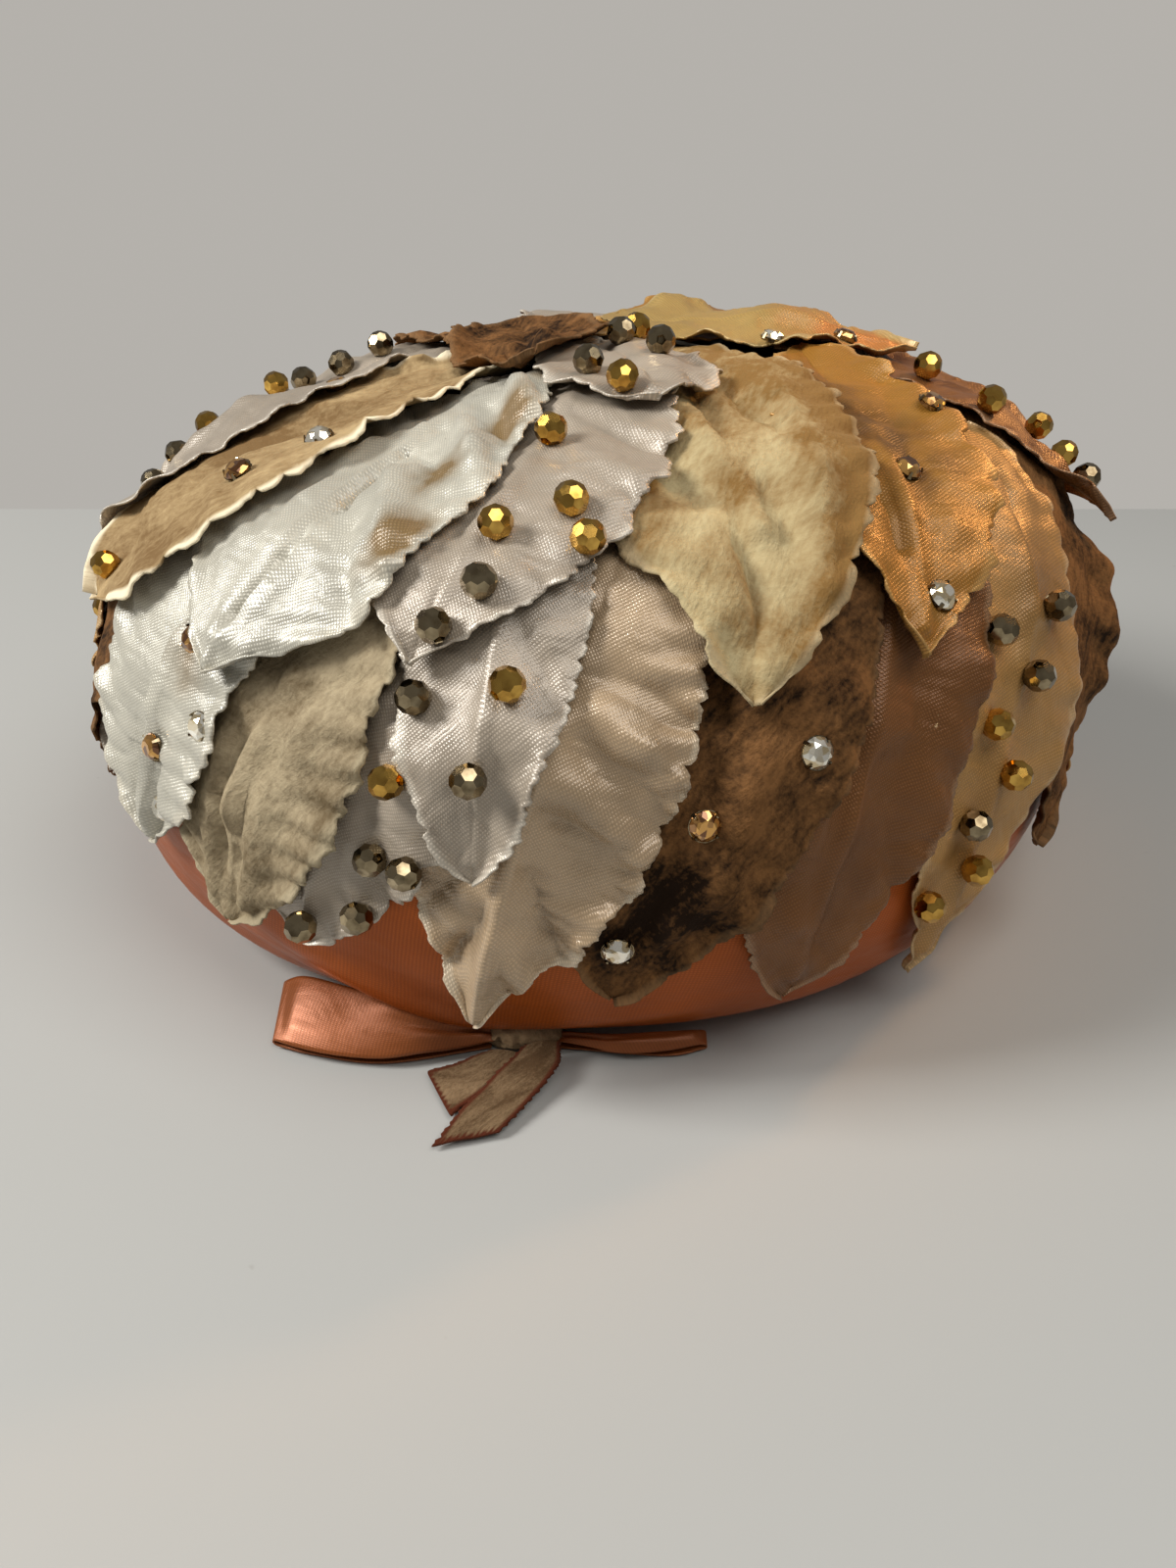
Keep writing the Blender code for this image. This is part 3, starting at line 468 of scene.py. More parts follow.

# Patches of a second tone on single leaves, partly stains and partly painted shade, in hundredths: along,
# across, reach along and across, strength
PATCHES = {
    # mid_08: golden-brown zones of the crushed velvet, with painted shade down one side
    "mid_08": (
        (50, 100, 34, 42, 75), (78, 105, 14, 45, 90), (22, 60, 14, 50, 45), (36, 45, 7, 25, 45),
        (66, -5, 6, 16, 45), (40, -85, 14, 25, 50),
    ),
    # mid_10: brown stains, with golden shade painted along its lower edge and into its hollows
    "mid_10": (
        (55, 55, 5, 12, 200), (36, 70, 6, 22, 160), (18, 60, 5, 30, 90), (62, -85, 20, 15, 60),
        (70, 80, 6, 14, 160),
    ),
    "mid_11": ((35, 30, 16, 30, 45), (62, -20, 12, 35, 50), (84, 30, 10, 45, 40)),
    "low_22": ((50, 35, 7, 25, 60), (30, 0, 15, 50, 30)),
    "low_18": ((40, 75, 14, 30, 30), (80, 60, 14, 40, 25)),
    "low_17": ((20, 0, 20, 80, 50), (85, 10, 14, 60, 50)),
    "mid_07": ((30, -40, 22, 50, 70), (50, 15, 16, 35, 80), (62, 50, 14, 40, 50)),
    "low_16": ((40, -60, 30, 40, 50), (75, 40, 16, 40, 50)),
    "low_15": ((36, 30, 12, 60, 60), (72, -20, 10, 60, 50)),
    "top_04": ((85, 0, 28, 120, 100),),
    "top_06": ((50, 20, 20, 50, 60),),
}
# Folds pressed or crumpled into single leaves, as ridges and hollows: from along and across, to along and
# across, in hundredths, and how wide and high, in tenths of a millimetre
FOLDS = {
    "low_18": (
        (42, -5, 97, 0, 14, 13), (38, -12, 97, -5, 65, 10), (50, 55, 78, 45, 45, -7),
        (30, 10, 34, 95, 22, -12), (42, 10, 50, 95, 22, -14), (36, 15, 42, 90, 22, 9),
        (54, 10, 66, 95, 22, -13), (48, 15, 58, 90, 22, 9), (66, 10, 80, 90, 20, -11),
        (50, -15, 64, -90, 20, -10), (62, -15, 78, -90, 18, -10), (74, -10, 90, -90, 16, -10),
        (78, 10, 90, 90, 16, 9),
    ),
    "low_21": (
        (40, 15, 97, -10, 24, 12), (50, -20, 97, -60, 22, 12), (45, 45, 92, 45, 22, 11),
        (50, -5, 97, -38, 20, -13), (50, 30, 95, 22, 20, -13), (35, 75, 55, -20, 24, -10),
        (26, 40, 34, -70, 26, 11),
    ),
    "low_22": (
        (45, 10, 97, 0, 18, 12), (60, 30, 95, 60, 16, -10), (60, -20, 95, -60, 16, -10),
        (70, 10, 97, 35, 12, 8),
    ),
    "mid_10": (
        (10, 5, 90, 2, 18, -11), (46, -12, 98, -4, 15, 10), (52, 30, 94, 16, 14, 9),
        (52, -45, 94, -20, 14, 8), (22, 15, 34, 90, 19, 10), (30, 15, 44, 90, 18, -11),
        (38, 12, 54, 90, 19, 11), (48, 12, 66, 92, 18, -11), (56, 12, 74, 90, 19, 10),
        (66, 12, 82, 90, 16, -9), (40, -10, 62, -80, 19, 9),
    ),
    "mid_09": (
        (15, 0, 95, 5, 16, 11), (42, 15, 52, 95, 19, -10), (56, 15, 68, 95, 19, -10),
        (70, 15, 84, 95, 17, -9), (48, -15, 62, -90, 19, -9),
    ),
    "low_19": ((35, 10, 98, 10, 18, 11), (55, 20, 80, 90, 20, -10), (60, 0, 90, -60, 20, -9)),
    "low_20": ((30, 5, 95, 5, 14, 9), (50, 20, 66, 90, 14, -8)),
    "mid_08": (
        (25, -35, 75, 10, 30, 16), (30, 25, 60, 55, 24, -16), (40, 60, 85, 75, 26, 13),
        (45, -60, 70, -30, 26, -12), (70, -30, 95, 0, 26, 12), (62, 15, 80, 45, 22, -12),
    ),
    "mid_07": ((20, 0, 95, 2, 15, 10), (30, 60, 75, 20, 20, -11), (40, -50, 80, -15, 20, -10)),
    "low_17": (
        (30, 20, 75, 55, 26, 14), (45, -20, 90, 20, 24, -13), (35, 70, 60, 10, 22, -12),
        (70, 60, 92, 10, 20, 12),
    ),
    "low_16": (
        (25, 5, 95, 0, 16, 11), (30, -55, 85, -30, 26, 11), (36, 60, 90, 30, 24, -10),
        (45, 20, 60, 90, 22, -9), (60, 20, 78, 90, 22, -9),
    ),
    "low_15": ((30, 0, 95, 5, 18, 12), (55, -20, 75, -85, 18, -10)),
    "mid_11": ((30, -30, 85, -10, 22, -11), (30, 30, 85, 35, 22, 10)),
    "mid_12": ((30, 10, 85, -20, 22, 11),),
    "top_05": ((55, -10, 95, -10, 15, 9), (70, 20, 85, 80, 15, -8)),
    "top_06": ((30, 10, 80, 20, 20, 14), (45, -50, 85, -25, 18, -12)),
    "top_04": ((25, 0, 90, 5, 20, 11),),
    "low_14": ((42, 98, 60, 98, 45, 16),),
}
FOLD_STRENGTH = 1.9
STRONGER_FOLDS = {"low_18": 2.6, "mid_10": 2.6}


def leaf_outline(leaf, along):
    """Half the leaf's width down its length, before the scallops."""
    half_way = along ** (math.log(0.5) / math.log(leaf["widest"]))
    swell = np.sin(math.pi * half_way).clip(0) ** (BASE_FULLNESS + leaf["taper"] * along)
    return np.maximum(leaf["width"] / 2 * swell, 0.45)


def chart_polar(azimuth, arc):
    angle = math.radians(azimuth)
    return np.array([arc * math.cos(angle), arc * math.sin(angle)])


def leaf_chart(leaf, along, aside):
    """Where points of a leaf lie on the flat map of the hat: along its midrib, and this far aside."""
    start = chart_polar(leaf["base_azimuth"], leaf["base_arc"])
    end = chart_polar(leaf["tip_azimuth"], leaf["tip_arc"])
    side = np.array([start[1] - end[1], end[0] - start[0]])
    side = side / np.linalg.norm(side)
    middle = (start + end) / 2 + 2 * leaf["bow"] * side
    step = along[..., None]
    centre = (1 - step) ** 2 * start + 2 * step * (1 - step) * middle + step**2 * end
    heading = 2 * (1 - step) * (middle - start) + 2 * step * (end - middle)
    arc = np.maximum(np.hypot(centre[..., 0], centre[..., 1]), 1.0)
    outward = centre / arc[..., None]
    around = np.stack([-outward[..., 1], outward[..., 0]], axis=-1)
    shrink = np.interp(arc, OUT_ARC, OUT_RADIUS) / arc
    ahead = (heading * outward).sum(-1)
    turned = (heading * around).sum(-1) * shrink
    size = np.hypot(ahead, turned)
    sideways = (-turned / size)[..., None] * outward + (ahead / size / shrink)[..., None] * around
    return centre + aside[..., None] * sideways


def read_field(field, chart):
    """The field's height at chart points, between its cells."""
    place = (chart + FIELD_REACH).clip(0, 2 * FIELD_REACH - 1e-6)
    low = np.floor(place).astype(int)
    part = place - low
    x, y = low[..., 0], low[..., 1]
    wx, wy = part[..., 0], part[..., 1]
    near = field[x, y] * (1 - wx) + field[x + 1, y] * wx
    far = field[x, y + 1] * (1 - wx) + field[x + 1, y + 1] * wx
    return near * (1 - wy) + far * wy


def box_blur(values, reach, axis):
    """A moving mean that keeps the ends."""
    padding = [(0, 0), (0, 0)]
    padding[axis] = (reach + 1, reach)
    summed = np.cumsum(np.pad(values, padding, mode="edge"), axis=axis)
    upper = np.take(summed, np.arange(2 * reach + 1, summed.shape[axis]), axis=axis)
    lower = np.take(summed, np.arange(0, summed.shape[axis] - 2 * reach - 1), axis=axis)
    return (upper - lower) / (2 * reach + 1)


SETTLING_ROUNDS = 14


def lie_over(ground):
    """The cloth's height over the ground: it bridges small steps and never goes through."""
    lift = ground
    for _ in range(SETTLING_ROUNDS):
        lift = np.maximum(box_blur(box_blur(lift, 5, 0), 1, 1), ground)
    return box_blur(box_blur(lift, 2, 0), 1, 1) + 0.1


def ripple(u, v, seed, pitch, count=5):
    """Soft unevenness of about one, with waves of about this pitch in all directions."""
    draw = np.random.default_rng(seed)
    total = 0.0
    for _ in range(count):
        angle = draw.uniform(0, math.tau)
        wave = pitch * draw.uniform(0.7, 1.5)
        run = u * math.cos(angle) + v * math.sin(angle)
        total = total + np.sin(run * math.tau / wave + draw.uniform(0, math.tau))
    return total / math.sqrt(count)


def scallops(run, seed, side, pitch):
    """Rounded teeth down one edge, leaning to the tip: how far the edge stands out, from -1 to 0."""
    uneven = run + 0.3 * pitch * np.sin(run / 7.3 + seed + 2 * side)
    uneven = uneven + 0.16 * pitch * np.sin(run / 3.1 + 3 * seed)
    tooth = (uneven / pitch + 0.37 * side) % 1.0
    rounded = np.sqrt(np.clip(1 - (2 * tooth**1.35 - 1) ** 2, 0, 1))
    return rounded - 1


def soft_step(value, low, high):
    t = np.clip((value - low) / (high - low), 0, 1)
    return t * t * (3 - 2 * t)


def folds_of(leaf, length, u, v):
    """The leaf's own ridges and hollows, each rounded across and fading out at both ends."""
    lift = 0.0 * u
    strength = STRONGER_FOLDS.get(leaf["name"], FOLD_STRENGTH)
    for fold in FOLDS.get(leaf["name"], ()):
        ends = np.array([fold[:2], fold[2:4]]) / 100
        wide, high = fold[4] / 10, fold[5] / 10
        ends_u = ends[:, 0] * length
        ends_v = ends[:, 1] * leaf_outline(leaf, ends[:, 0])
        run = np.array([ends_u[1] - ends_u[0], ends_v[1] - ends_v[0]])
        share = ((u - ends_u[0]) * run[0] + (v - ends_v[0]) * run[1]) / (run @ run)
        off_u = u - ends_u[0] - share.clip(0, 1) * run[0]
        off_v = v - ends_v[0] - share.clip(0, 1) * run[1]
        ridge = np.exp(-(off_u**2 + off_v**2) / wide**2) * soft_step(share, -0.15, 0.3)
        lift += strength * high * (1 + 0.25 * np.sin(share * 9 + wide)) * ridge
    return lift


def leaf_relief(leaf, number, along, across, u, v, half):
    """What the iron, the stitches and wear gave a leaf: puffed halves, ribs, pleats, curled edge and tip."""
    rib_width, rib_depth, vein_width, vein_depth = IRONED[leaf["cloth"].split("_")[0]]
    fade = soft_step(along, 0.0, 0.12)
    side = np.abs(across)
    arched = np.sin(math.pi * side.clip(0, 1))
    puffed = leaf["puff"] * arched**0.8 * soft_step(half, 3, 14)
    midrib = -rib_depth * np.exp(-((v / rib_width) ** 2)) * (1 - soft_step(along, 0.86, 1.0))
    vein = ((u - 1.05 * np.abs(v)) / VEIN_PITCH + 0.22 * np.sign(v) + 0.1 * number) % 1.0
    near_vein = np.minimum(vein, 1 - vein) * VEIN_PITCH
    veins = -vein_depth * np.exp(-((near_vein / vein_width) ** 2)) * arched**0.5
    pleat_run = (u + 0.55 * np.abs(v)) / PLEAT_PITCH + 0.24 * ripple(u, v, SEEDS["pleat"] + number, 40, 3)
    pleats = leaf["pleats"] * np.sin(pleat_run * math.tau) * soft_step(side, 0.25, 0.95)
    uneven = 0.42 * ripple(u, v, SEEDS["broad"] + number, 24)
    uneven = uneven + 0.24 * ripple(u, v, SEEDS["fine"] + number, 9.5)
    ruffle = 0.55 * ripple(u, 60 * np.sign(v), SEEDS["ruffle"] + number, 10, 3) * soft_step(side, 0.55, 1.0)
    lift_here = 0.45 + 0.55 * ripple(u, 0 * v, SEEDS["lift"] + number * 2, 30, 3) * np.sign(across + 1e-9)
    curled = leaf["edge_curl"] * soft_step(side, 0.62, 1.0) ** 1.6 * (0.6 + 0.5 * lift_here).clip(0.15, 1.6)
    tip = leaf["tip_curl"] * soft_step(along, 0.80, 1.0) ** 1.5
    own = folds_of(leaf, float(u.max()), u, v)
    return (puffed + midrib + veins + pleats + uneven + ruffle + own) * fade + curled * fade + tip + 0.5


def leaf_ground():
    """What the first leaves are laid on: the padding over the crown, and the satin band further down."""
    ticks = np.arange(-FIELD_REACH, FIELD_REACH + 1)
    across, up = np.meshgrid(ticks, ticks, indexing="ij")
    arc = np.hypot(across, up)
    padding = -3.5 - 1.6 * np.clip(1 - arc / DIP_ARC, 0, 1) ** 1.5
    on_band = -band_depth(arc) + band_relief(np.arctan2(up, across), arc)
    return np.where(arc < BAND_TOP_ARC, padding, on_band)


def raise_field(field, chart, top):
    """Records a leaf's top face in the field, so that the next leaf lies on it."""
    row_count, column_count = top.shape
    rows = np.linspace(0, row_count - 1, row_count * 2 - 1)
    columns = np.linspace(0, column_count - 1, (column_count - 1) * 6 + 1)
    low = np.floor(columns).astype(int).clip(0, column_count - 2)
    part = columns - low
    fine = []
    for values in (chart[..., 0], chart[..., 1], top):
        by_row = np.stack([np.interp(rows, np.arange(row_count), column) for column in values.T], 1)
        fine.append(by_row[:, low] * (1 - part) + by_row[:, low + 1] * part)
    cells = np.round(np.stack(fine[:2], axis=-1) + FIELD_REACH).astype(int).clip(0, len(field) - 1)
    np.maximum.at(field, (cells[..., 0].ravel(), cells[..., 1].ravel()), fine[2].ravel())


def velvet_finish(name, deep, light, edge, crush=0.05, nap=1.5, sheen=0.5, streak=0.16, mottle=0.26):
    """Velvet: a short pile crushed in drifts, dark where it leans away and light where it lies down, darker
    still in its listed patches of stains and painted shade.
    """
    material, tree, shader = new_finish(name)
    place, tones = cloth_places(tree)
    pile = clouding(tree, place, nap, 3.0, Roughness=0.7)
    brushed = yarns(tree, place, 25, 0.9, 0.3, 3.0)
    drifts = clouding(tree, place, crush, 4.0, Roughness=0.55, Distortion=0.6)
    # The first tone darkens the pile: crushed patches and stains, and painted shade where the patches stand
    # for it.
    lean = reckon(tree, "SUBTRACT", spread(tree, drifts, 0.32, 0.66, 0.0, 1.0), tones[0])
    lean = reckon(tree, "ADD", lean, spread(tree, brushed, 0.3, 0.7, -streak, streak))
    lean = reckon(tree, "ADD", lean, spread(tree, pile, 0.3, 0.7, -mottle, mottle))
    base = blend_colours(tree, spread(tree, lean, -0.05, 0.95, 0, 1), deep, light)
    feed(tree, shader, {
        "Base Color": blend_colours(tree, spread(tree, tones[1], 0.15, 0.85, 0, 1), base, edge),
        "Roughness": 0.8,
        "Specular IOR Level": 0.12,
        "Sheen Weight": sheen,
        "Sheen Roughness": 0.45,
        "Sheen Tint": (*light, 1),
        "Normal": raised(tree, reckon(tree, "ADD", pile, brushed), 0.8, 0.00035),
    })
    return material


WARM = {"sheen": 0.05, "metal": 0.2, "shine": 0.5}
SATINS = (
    # name, silk, stain and painted shade, edge, roughness, other settings
    ("satin_grey", (0.375, 0.315, 0.245), (0.22, 0.155, 0.10), (0.66, 0.60, 0.50), 0.34, {}),
    # The silver's second colour is golden shade, painted into its hollows and along its edges.
    ("satin_silver", (0.50, 0.475, 0.395), (0.22, 0.14, 0.055), (0.60, 0.55, 0.44), 0.32, {}),
    ("satin_champagne", (0.45, 0.325, 0.20), (0.20, 0.115, 0.05), (0.74, 0.63, 0.47), 0.27, {}),
    ("satin_mauve", (0.175, 0.070, 0.019), (0.10, 0.040, 0.013), (0.33, 0.20, 0.11), 0.39,
     {"sheen": 0.03, "metal": 0.2, "shine": 0.4}),
    ("satin_gold", (0.36, 0.165, 0.025), (0.12, 0.055, 0.010), (0.56, 0.33, 0.11), 0.35, WARM),
    ("satin_tan", (0.41, 0.225, 0.072), (0.25, 0.125, 0.036), (0.60, 0.42, 0.22), 0.37, WARM),
    ("satin_olive", (0.42, 0.28, 0.09), (0.48, 0.19, 0.045), (0.54, 0.40, 0.18), 0.37, WARM),
)
VELVETS = (
    # name, deep, light, edge, other settings
    ("velvet_olive", (0.15, 0.108, 0.058), (0.39, 0.315, 0.20), (0.50, 0.43, 0.29),
     {"nap": 0.8, "sheen": 0.2}),
    ("velvet_beige", (0.17, 0.10, 0.040), (0.43, 0.31, 0.16), (0.80, 0.70, 0.50),
     {"nap": 0.8, "sheen": 0.2, "mottle": 0.2}),
    ("velvet_brown", (0.012, 0.005, 0.0015), (0.19, 0.088, 0.030), (0.26, 0.16, 0.08),
     {"crush": 0.09, "nap": 1.0, "sheen": 0.12, "streak": 0.24}),
    ("velvet_cream", (0.21, 0.115, 0.034), (0.49, 0.40, 0.22), (0.60, 0.50, 0.32),
     {"crush": 0.06, "nap": 0.9, "sheen": 0.25, "streak": 0.14, "mottle": 0.12}),
)
LEAF_CLOTHS = {row[0]: satin_finish(*row[:-1], **row[-1]) for row in SATINS}
LEAF_CLOTHS |= {row[0]: velvet_finish(*row[:-1], **row[-1]) for row in VELVETS}
SATIN_EDGE = 0.7
SATIN_EDGE_WIDE = 0.9
VELVET_EDGE_WIDE = 2.4
VELVET_EDGE = {"velvet_beige": 1.0, "velvet_cream": 0.45, "velvet_olive": 0.5, "velvet_brown": 0.35}


def leaf_edge(leaf, number, across, u, half):
    """How far aside each point lies: the leaf's outline, with its scallops, fine teeth and uneven lobes."""
    toothed = soft_step(np.abs(across), 0.80, 1.0) * soft_step(half, 1.5, 7.0)
    pitch = SCALLOP_OF_LEAF.get(leaf["name"], SCALLOP_PITCH)
    side = np.sign(across)
    run = u + 0.35 * half
    cut = 0.25 * pitch * scallops(run, number, side, pitch)
    cut = cut + 0.3 * scallops(run, number + 50, side, FINE_TOOTH)
    cut = cut + ripple(u, 40 * side, SEEDS["lobe"] + number, 14, 3)
    cut = cut + 0.28 * ripple(u, 90 * side, SEEDS["nick"] + number, FINE_TOOTH, 3)
    return half * across + side * (cut + 0.5) * toothed


def stains_and_painted_shade(leaf, along, across):
    """Where the second tone shows, and how strongly: stains, crushed pile and painted shade."""
    stain_and_shade = 0 * along
    for patch in PATCHES.get(leaf["name"], ()):
        patch_along, patch_across, reach_along, reach_across, strength = (part / 100 for part in patch)
        off_along = (along - patch_along) / reach_along
        off_across = (across - patch_across) / reach_across
        stain_and_shade = stain_and_shade + strength * np.exp(-(off_along**2) - off_across**2)
    return stain_and_shade


field = leaf_ground()
leaf_tops = {}
for number, values in enumerate(LEAVES):
    leaf = dict(zip(LEAF_FIELDS, values))
    along = np.linspace(0, 1, LEAF_ROWS + 1)[:, None] + 0 * ACROSS
    across = ACROSS + 0 * along
    base = chart_polar(leaf["base_azimuth"], leaf["base_arc"])
    u = along * float(np.hypot(*(base - chart_polar(leaf["tip_azimuth"], leaf["tip_arc"]))))
    half = leaf_outline(leaf, along)
    aside = leaf_edge(leaf, number, across, u, half)
    chart = leaf_chart(leaf, along, aside)
    arc = np.hypot(chart[..., 0], chart[..., 1])
    azimuth = np.arctan2(chart[..., 1], chart[..., 0])
    ground = read_field(field, chart) + BETWEEN_LEAVES
    lift = lie_over(ground) + leaf_relief(leaf, number, along, across, u, aside, half)
    lift = np.maximum(lift, ground + LEAST_LIFT)
    raise_field(field, chart, lift + LEAF_WALL)
    leaf_tops[leaf["name"]] = (azimuth, arc, lift + LEAF_WALL)
    edge_wide = VELVET_EDGE_WIDE if leaf["cloth"] in VELVET_EDGE else SATIN_EDGE_WIDE
    rim = soft_step(np.abs(aside), half - edge_wide, half - 0.1) * VELVET_EDGE.get(leaf["cloth"], SATIN_EDGE)
    place = threes(u, aside, 31.0 * number)
    tones = threes(stains_and_painted_shade(leaf, along, across), rim, 0.0)
    laid = on_hat(azimuth, arc, lift)
    piece = woven_grid("cloth_" + leaf["name"], laid, place, tones, wall=LEAF_WALL, out_of=(0, 0, 0.04))
    dress(piece, LEAF_CLOTHS[leaf["cloth"]])
    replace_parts(piece, "leaf_" + leaf["name"])

# Beads: faceted glass beads of 6 mm with a metal coat fired on, gold and bronze mixed. Each is sewn down to
# its leaf by a thread through its hole.
BEAD_RADIUS = 3.0
BEAD_SEAT = 2.35
# Along and across each leaf, in hundredths
BEADS = {
    "gold": {
        "top_05": ((33, 55), (90, -60)),
        "mid_09": ((52, 9), (70, 56), (77, 20), (76, 85)),
        "low_20": ((63, 36),),
        "low_19": ((55, 42),),
        "low_15": ((58, -31), (64, 11), (79, -6), (85, -75)),
        "mid_12": ((61, -49), (43, -80)),
        "mid_06": ((83, 60), (74, 75), (67, -80), (50, -39)),
        "mid_11": ((93, 0),),
        "low_03": ((62, 30),),
        "low_10": ((50, 35),),
    },
    "bronze": {
        "top_05": ((40, 20), (59, 49), (72, -55)),
        "mid_09": ((87, 46), (94, 30)),
        "low_20": ((79, 1), (65, -75)),
        "low_19": ((72, 57), (68, 88), (92, 16), (84, 82)),
        "low_15": ((39, 30), (45, -42), (50, 8), (72, -24)),
        "mid_12": ((70, -35), (78, -30), (39, -27), (30, -33), (21, -21)),
        "mid_06": ((90, 50),),
        "low_06": ((50, 35),),
        "mid_04": ((50, 35),),
    },
}


def seat_on_leaf(name, along, across, above):
    """A frame on a leaf's top face: its place, and its Z square to the hat."""
    azimuth, arc, top = leaf_tops[name]
    row = round(along * LEAF_ROWS)
    column = int(np.argmin(np.abs(ACROSS - across)))
    turn_at, arc_at = azimuth[row, column], arc[row, column]
    place = on_hat(turn_at, arc_at, top[row, column] + above)
    normal = Vector(on_hat(turn_at, arc_at, 10.0) - on_hat(turn_at, arc_at, 0.0)).normalized()
    return Matrix.Translation(Vector(place)) @ normal.to_track_quat("Z", "X").to_matrix().to_4x4()


def seats_on(leaves, above):
    """A seat for every bead or stone, leaf by leaf."""
    spots = [(leaf, along / 100, across / 100) for leaf, spots in leaves.items() for along, across in spots]
    return [seat_on_leaf(leaf, along, across, above) for leaf, along, across in spots]


def cut_from_points(points):
    """A faceted solid: the hull of its corner points, its coplanar triangles made one facet."""
    shape = bmesh.new()
    for point in points:
        shape.verts.new(Vector(point))
    bmesh.ops.convex_hull(shape, input=shape.verts[:])
    bmesh.ops.dissolve_limit(shape, angle_limit=math.radians(1), verts=shape.verts[:], edges=shape.edges[:])
    bmesh.ops.recalc_face_normals(shape, faces=shape.faces[:])
    return shape


def faceted_ball():
    """Twelve five-sided and twenty six-sided facets, two of them opposite bored for the thread."""
    ball = bmesh.new()
    bmesh.ops.create_icosphere(ball, subdivisions=1, radius=1)
    corners = []
    for edge in ball.edges:
        a, b = (v.co for v in edge.verts)
        corners += [a.lerp(b, 1 / 3), a.lerp(b, 2 / 3)]
    ball.free()
    shape = cut_from_points([c.normalized() for c in corners])
    ends = [f for f in shape.faces if len(f.verts) == 5]
    ends.sort(key=lambda f: f.calc_center_median().z)
    bored = [ends[0], ends[-1]]
    bmesh.ops.inset_individual(shape, faces=bored, thickness=0.13, depth=0.0)
    for face in bored:
        inward = face.calc_center_median().normalized() * 0.35
        for vertex in face.verts:
            vertex.co -= inward
    return shape


def joined(name, shapes):
    """One piece made of these faceted shapes, which are used up."""
    whole = bmesh.new()
    part = bpy.data.meshes.new("part")
    for shape in shapes:
        shape.to_mesh(part)
        whole.from_mesh(part)
        shape.free()
    bpy.data.meshes.remove(part)
    mesh = bpy.data.meshes.new(name)
    whole.to_mesh(mesh)
    whole.free()
    return placed(name, mesh)


def copies_at(shape, places):
    """A copy of a faceted shape at each place."""
    copies = [shape.copy() for _ in places]
    for copy, place in zip(copies, places):
        copy.transform(place)
    return copies


def rolled(seats, seed):
    """Each bead turns its own way on its thread before it is sewn down."""
    draw = np.random.default_rng(seed)
    size = Matrix.Diagonal((BEAD_RADIUS * MM,) * 3).to_4x4()
    places = []
    for seat in seats:
        spin = Matrix.Rotation(draw.uniform(0, math.tau), 4, "Z")
        tilt = Matrix.Rotation(draw.uniform(1.1, 2.0), 4, "X")
        places.append(seat @ spin @ tilt @ size)
    return places


def bead_coat(name, colour, dark, roughness):
    """Metal fired onto glass: a mirror with faint brown clouding where it has worn."""
    material, tree, shader = new_finish(name)
    wear = clouding(tree, node(tree, "TexCoord").outputs["Object"], 420.0, 3.0)
    feed(tree, shader, {
        "Base Color": blend_colours(tree, spread(tree, wear, 0.35, 0.7, 0, 1), colour, dark),
        "Roughness": spread(tree, wear, 0.3, 0.7, roughness, roughness + 0.16),
        "Metallic": 1.0,
    })
    return material


bead_finishes = {
    "gold": bead_coat("bead_gold", (0.72, 0.44, 0.10), (0.34, 0.18, 0.035), 0.06),
    "bronze": bead_coat("bead_bronze", (0.36, 0.29, 0.18), (0.12, 0.085, 0.045), 0.07),
}
ball = faceted_ball()
for number, (finish, coat) in enumerate(bead_finishes.items()):
    places = rolled(seats_on(BEADS[finish], BEAD_SEAT), 40 + number)
    beads = joined(f"beads_{finish}", copies_at(ball, places))
    dress(beads, coat)
ball.free()

# Stones: foil-backed cut glass of 5.6 mm, clear and topaz, in thin metal cups with four claws bent over the
# edge. Each cup is sewn on singly.
STONE_SEAT = 0.4
STONES = {
    "clear": {
        "mid_11": ((49, 60),),
        "low_22": ((58, 80), (89, 38)),
        "low_17": ((50, 69), (90, -14)),
        "mid_07": ((89, 41),),
        "top_04": ((52, -85),),
        "low_08": ((50, 35),),
    },
    "topaz": {
        "mid_11": ((62, 50), (37, -74)),
        "low_22": ((45, 29), (73, 17)),
        "low_17": ((66, 22),),
        "mid_07": ((61, 24), (40, 80)),
        "top_04": ((76, -49),),
        "low_13": ((50, 35),),
    },
}
# Each claw's corners, in pairs: how far out, half the width, height
CLAW = ((2.6, 0.35, 0.0), (3.05, 0.35, 0.0), (2.35, 0.2, 1.15), (2.6, 0.2, 1.25))


def ring_of(count, radius, height, offset=0.0):
    turns = (np.arange(count) + offset) / count * math.tau
    return [(radius * math.cos(t), radius * math.sin(t), height) for t in turns]


def cut_stone():
    """Table, star and girdle facets over a short foiled back."""
    rings = ring_of(8, 1.45, 1.75) + ring_of(8, 2.2, 1.2, 0.5)
    return cut_from_points(rings + ring_of(16, 2.72, 0.45, 0.5) + ring_of(8, 2.3, -0.2))


def claw_cup():
    """A shallow cup under the girdle, with four claws bent over the stone's edge."""
    parts = [cut_from_points(ring_of(16, 2.9, 0.3) + ring_of(16, 2.5, -0.45))]
    for index in range(4):
        turn_at = Matrix.Rotation(math.tau * (index + 0.5) / 4, 4, "Z")
        corners = [turn_at @ Vector((x, y, z)) for x, half, z in CLAW for y in (-half, half)]
        parts.append(cut_from_points(corners))
    return parts


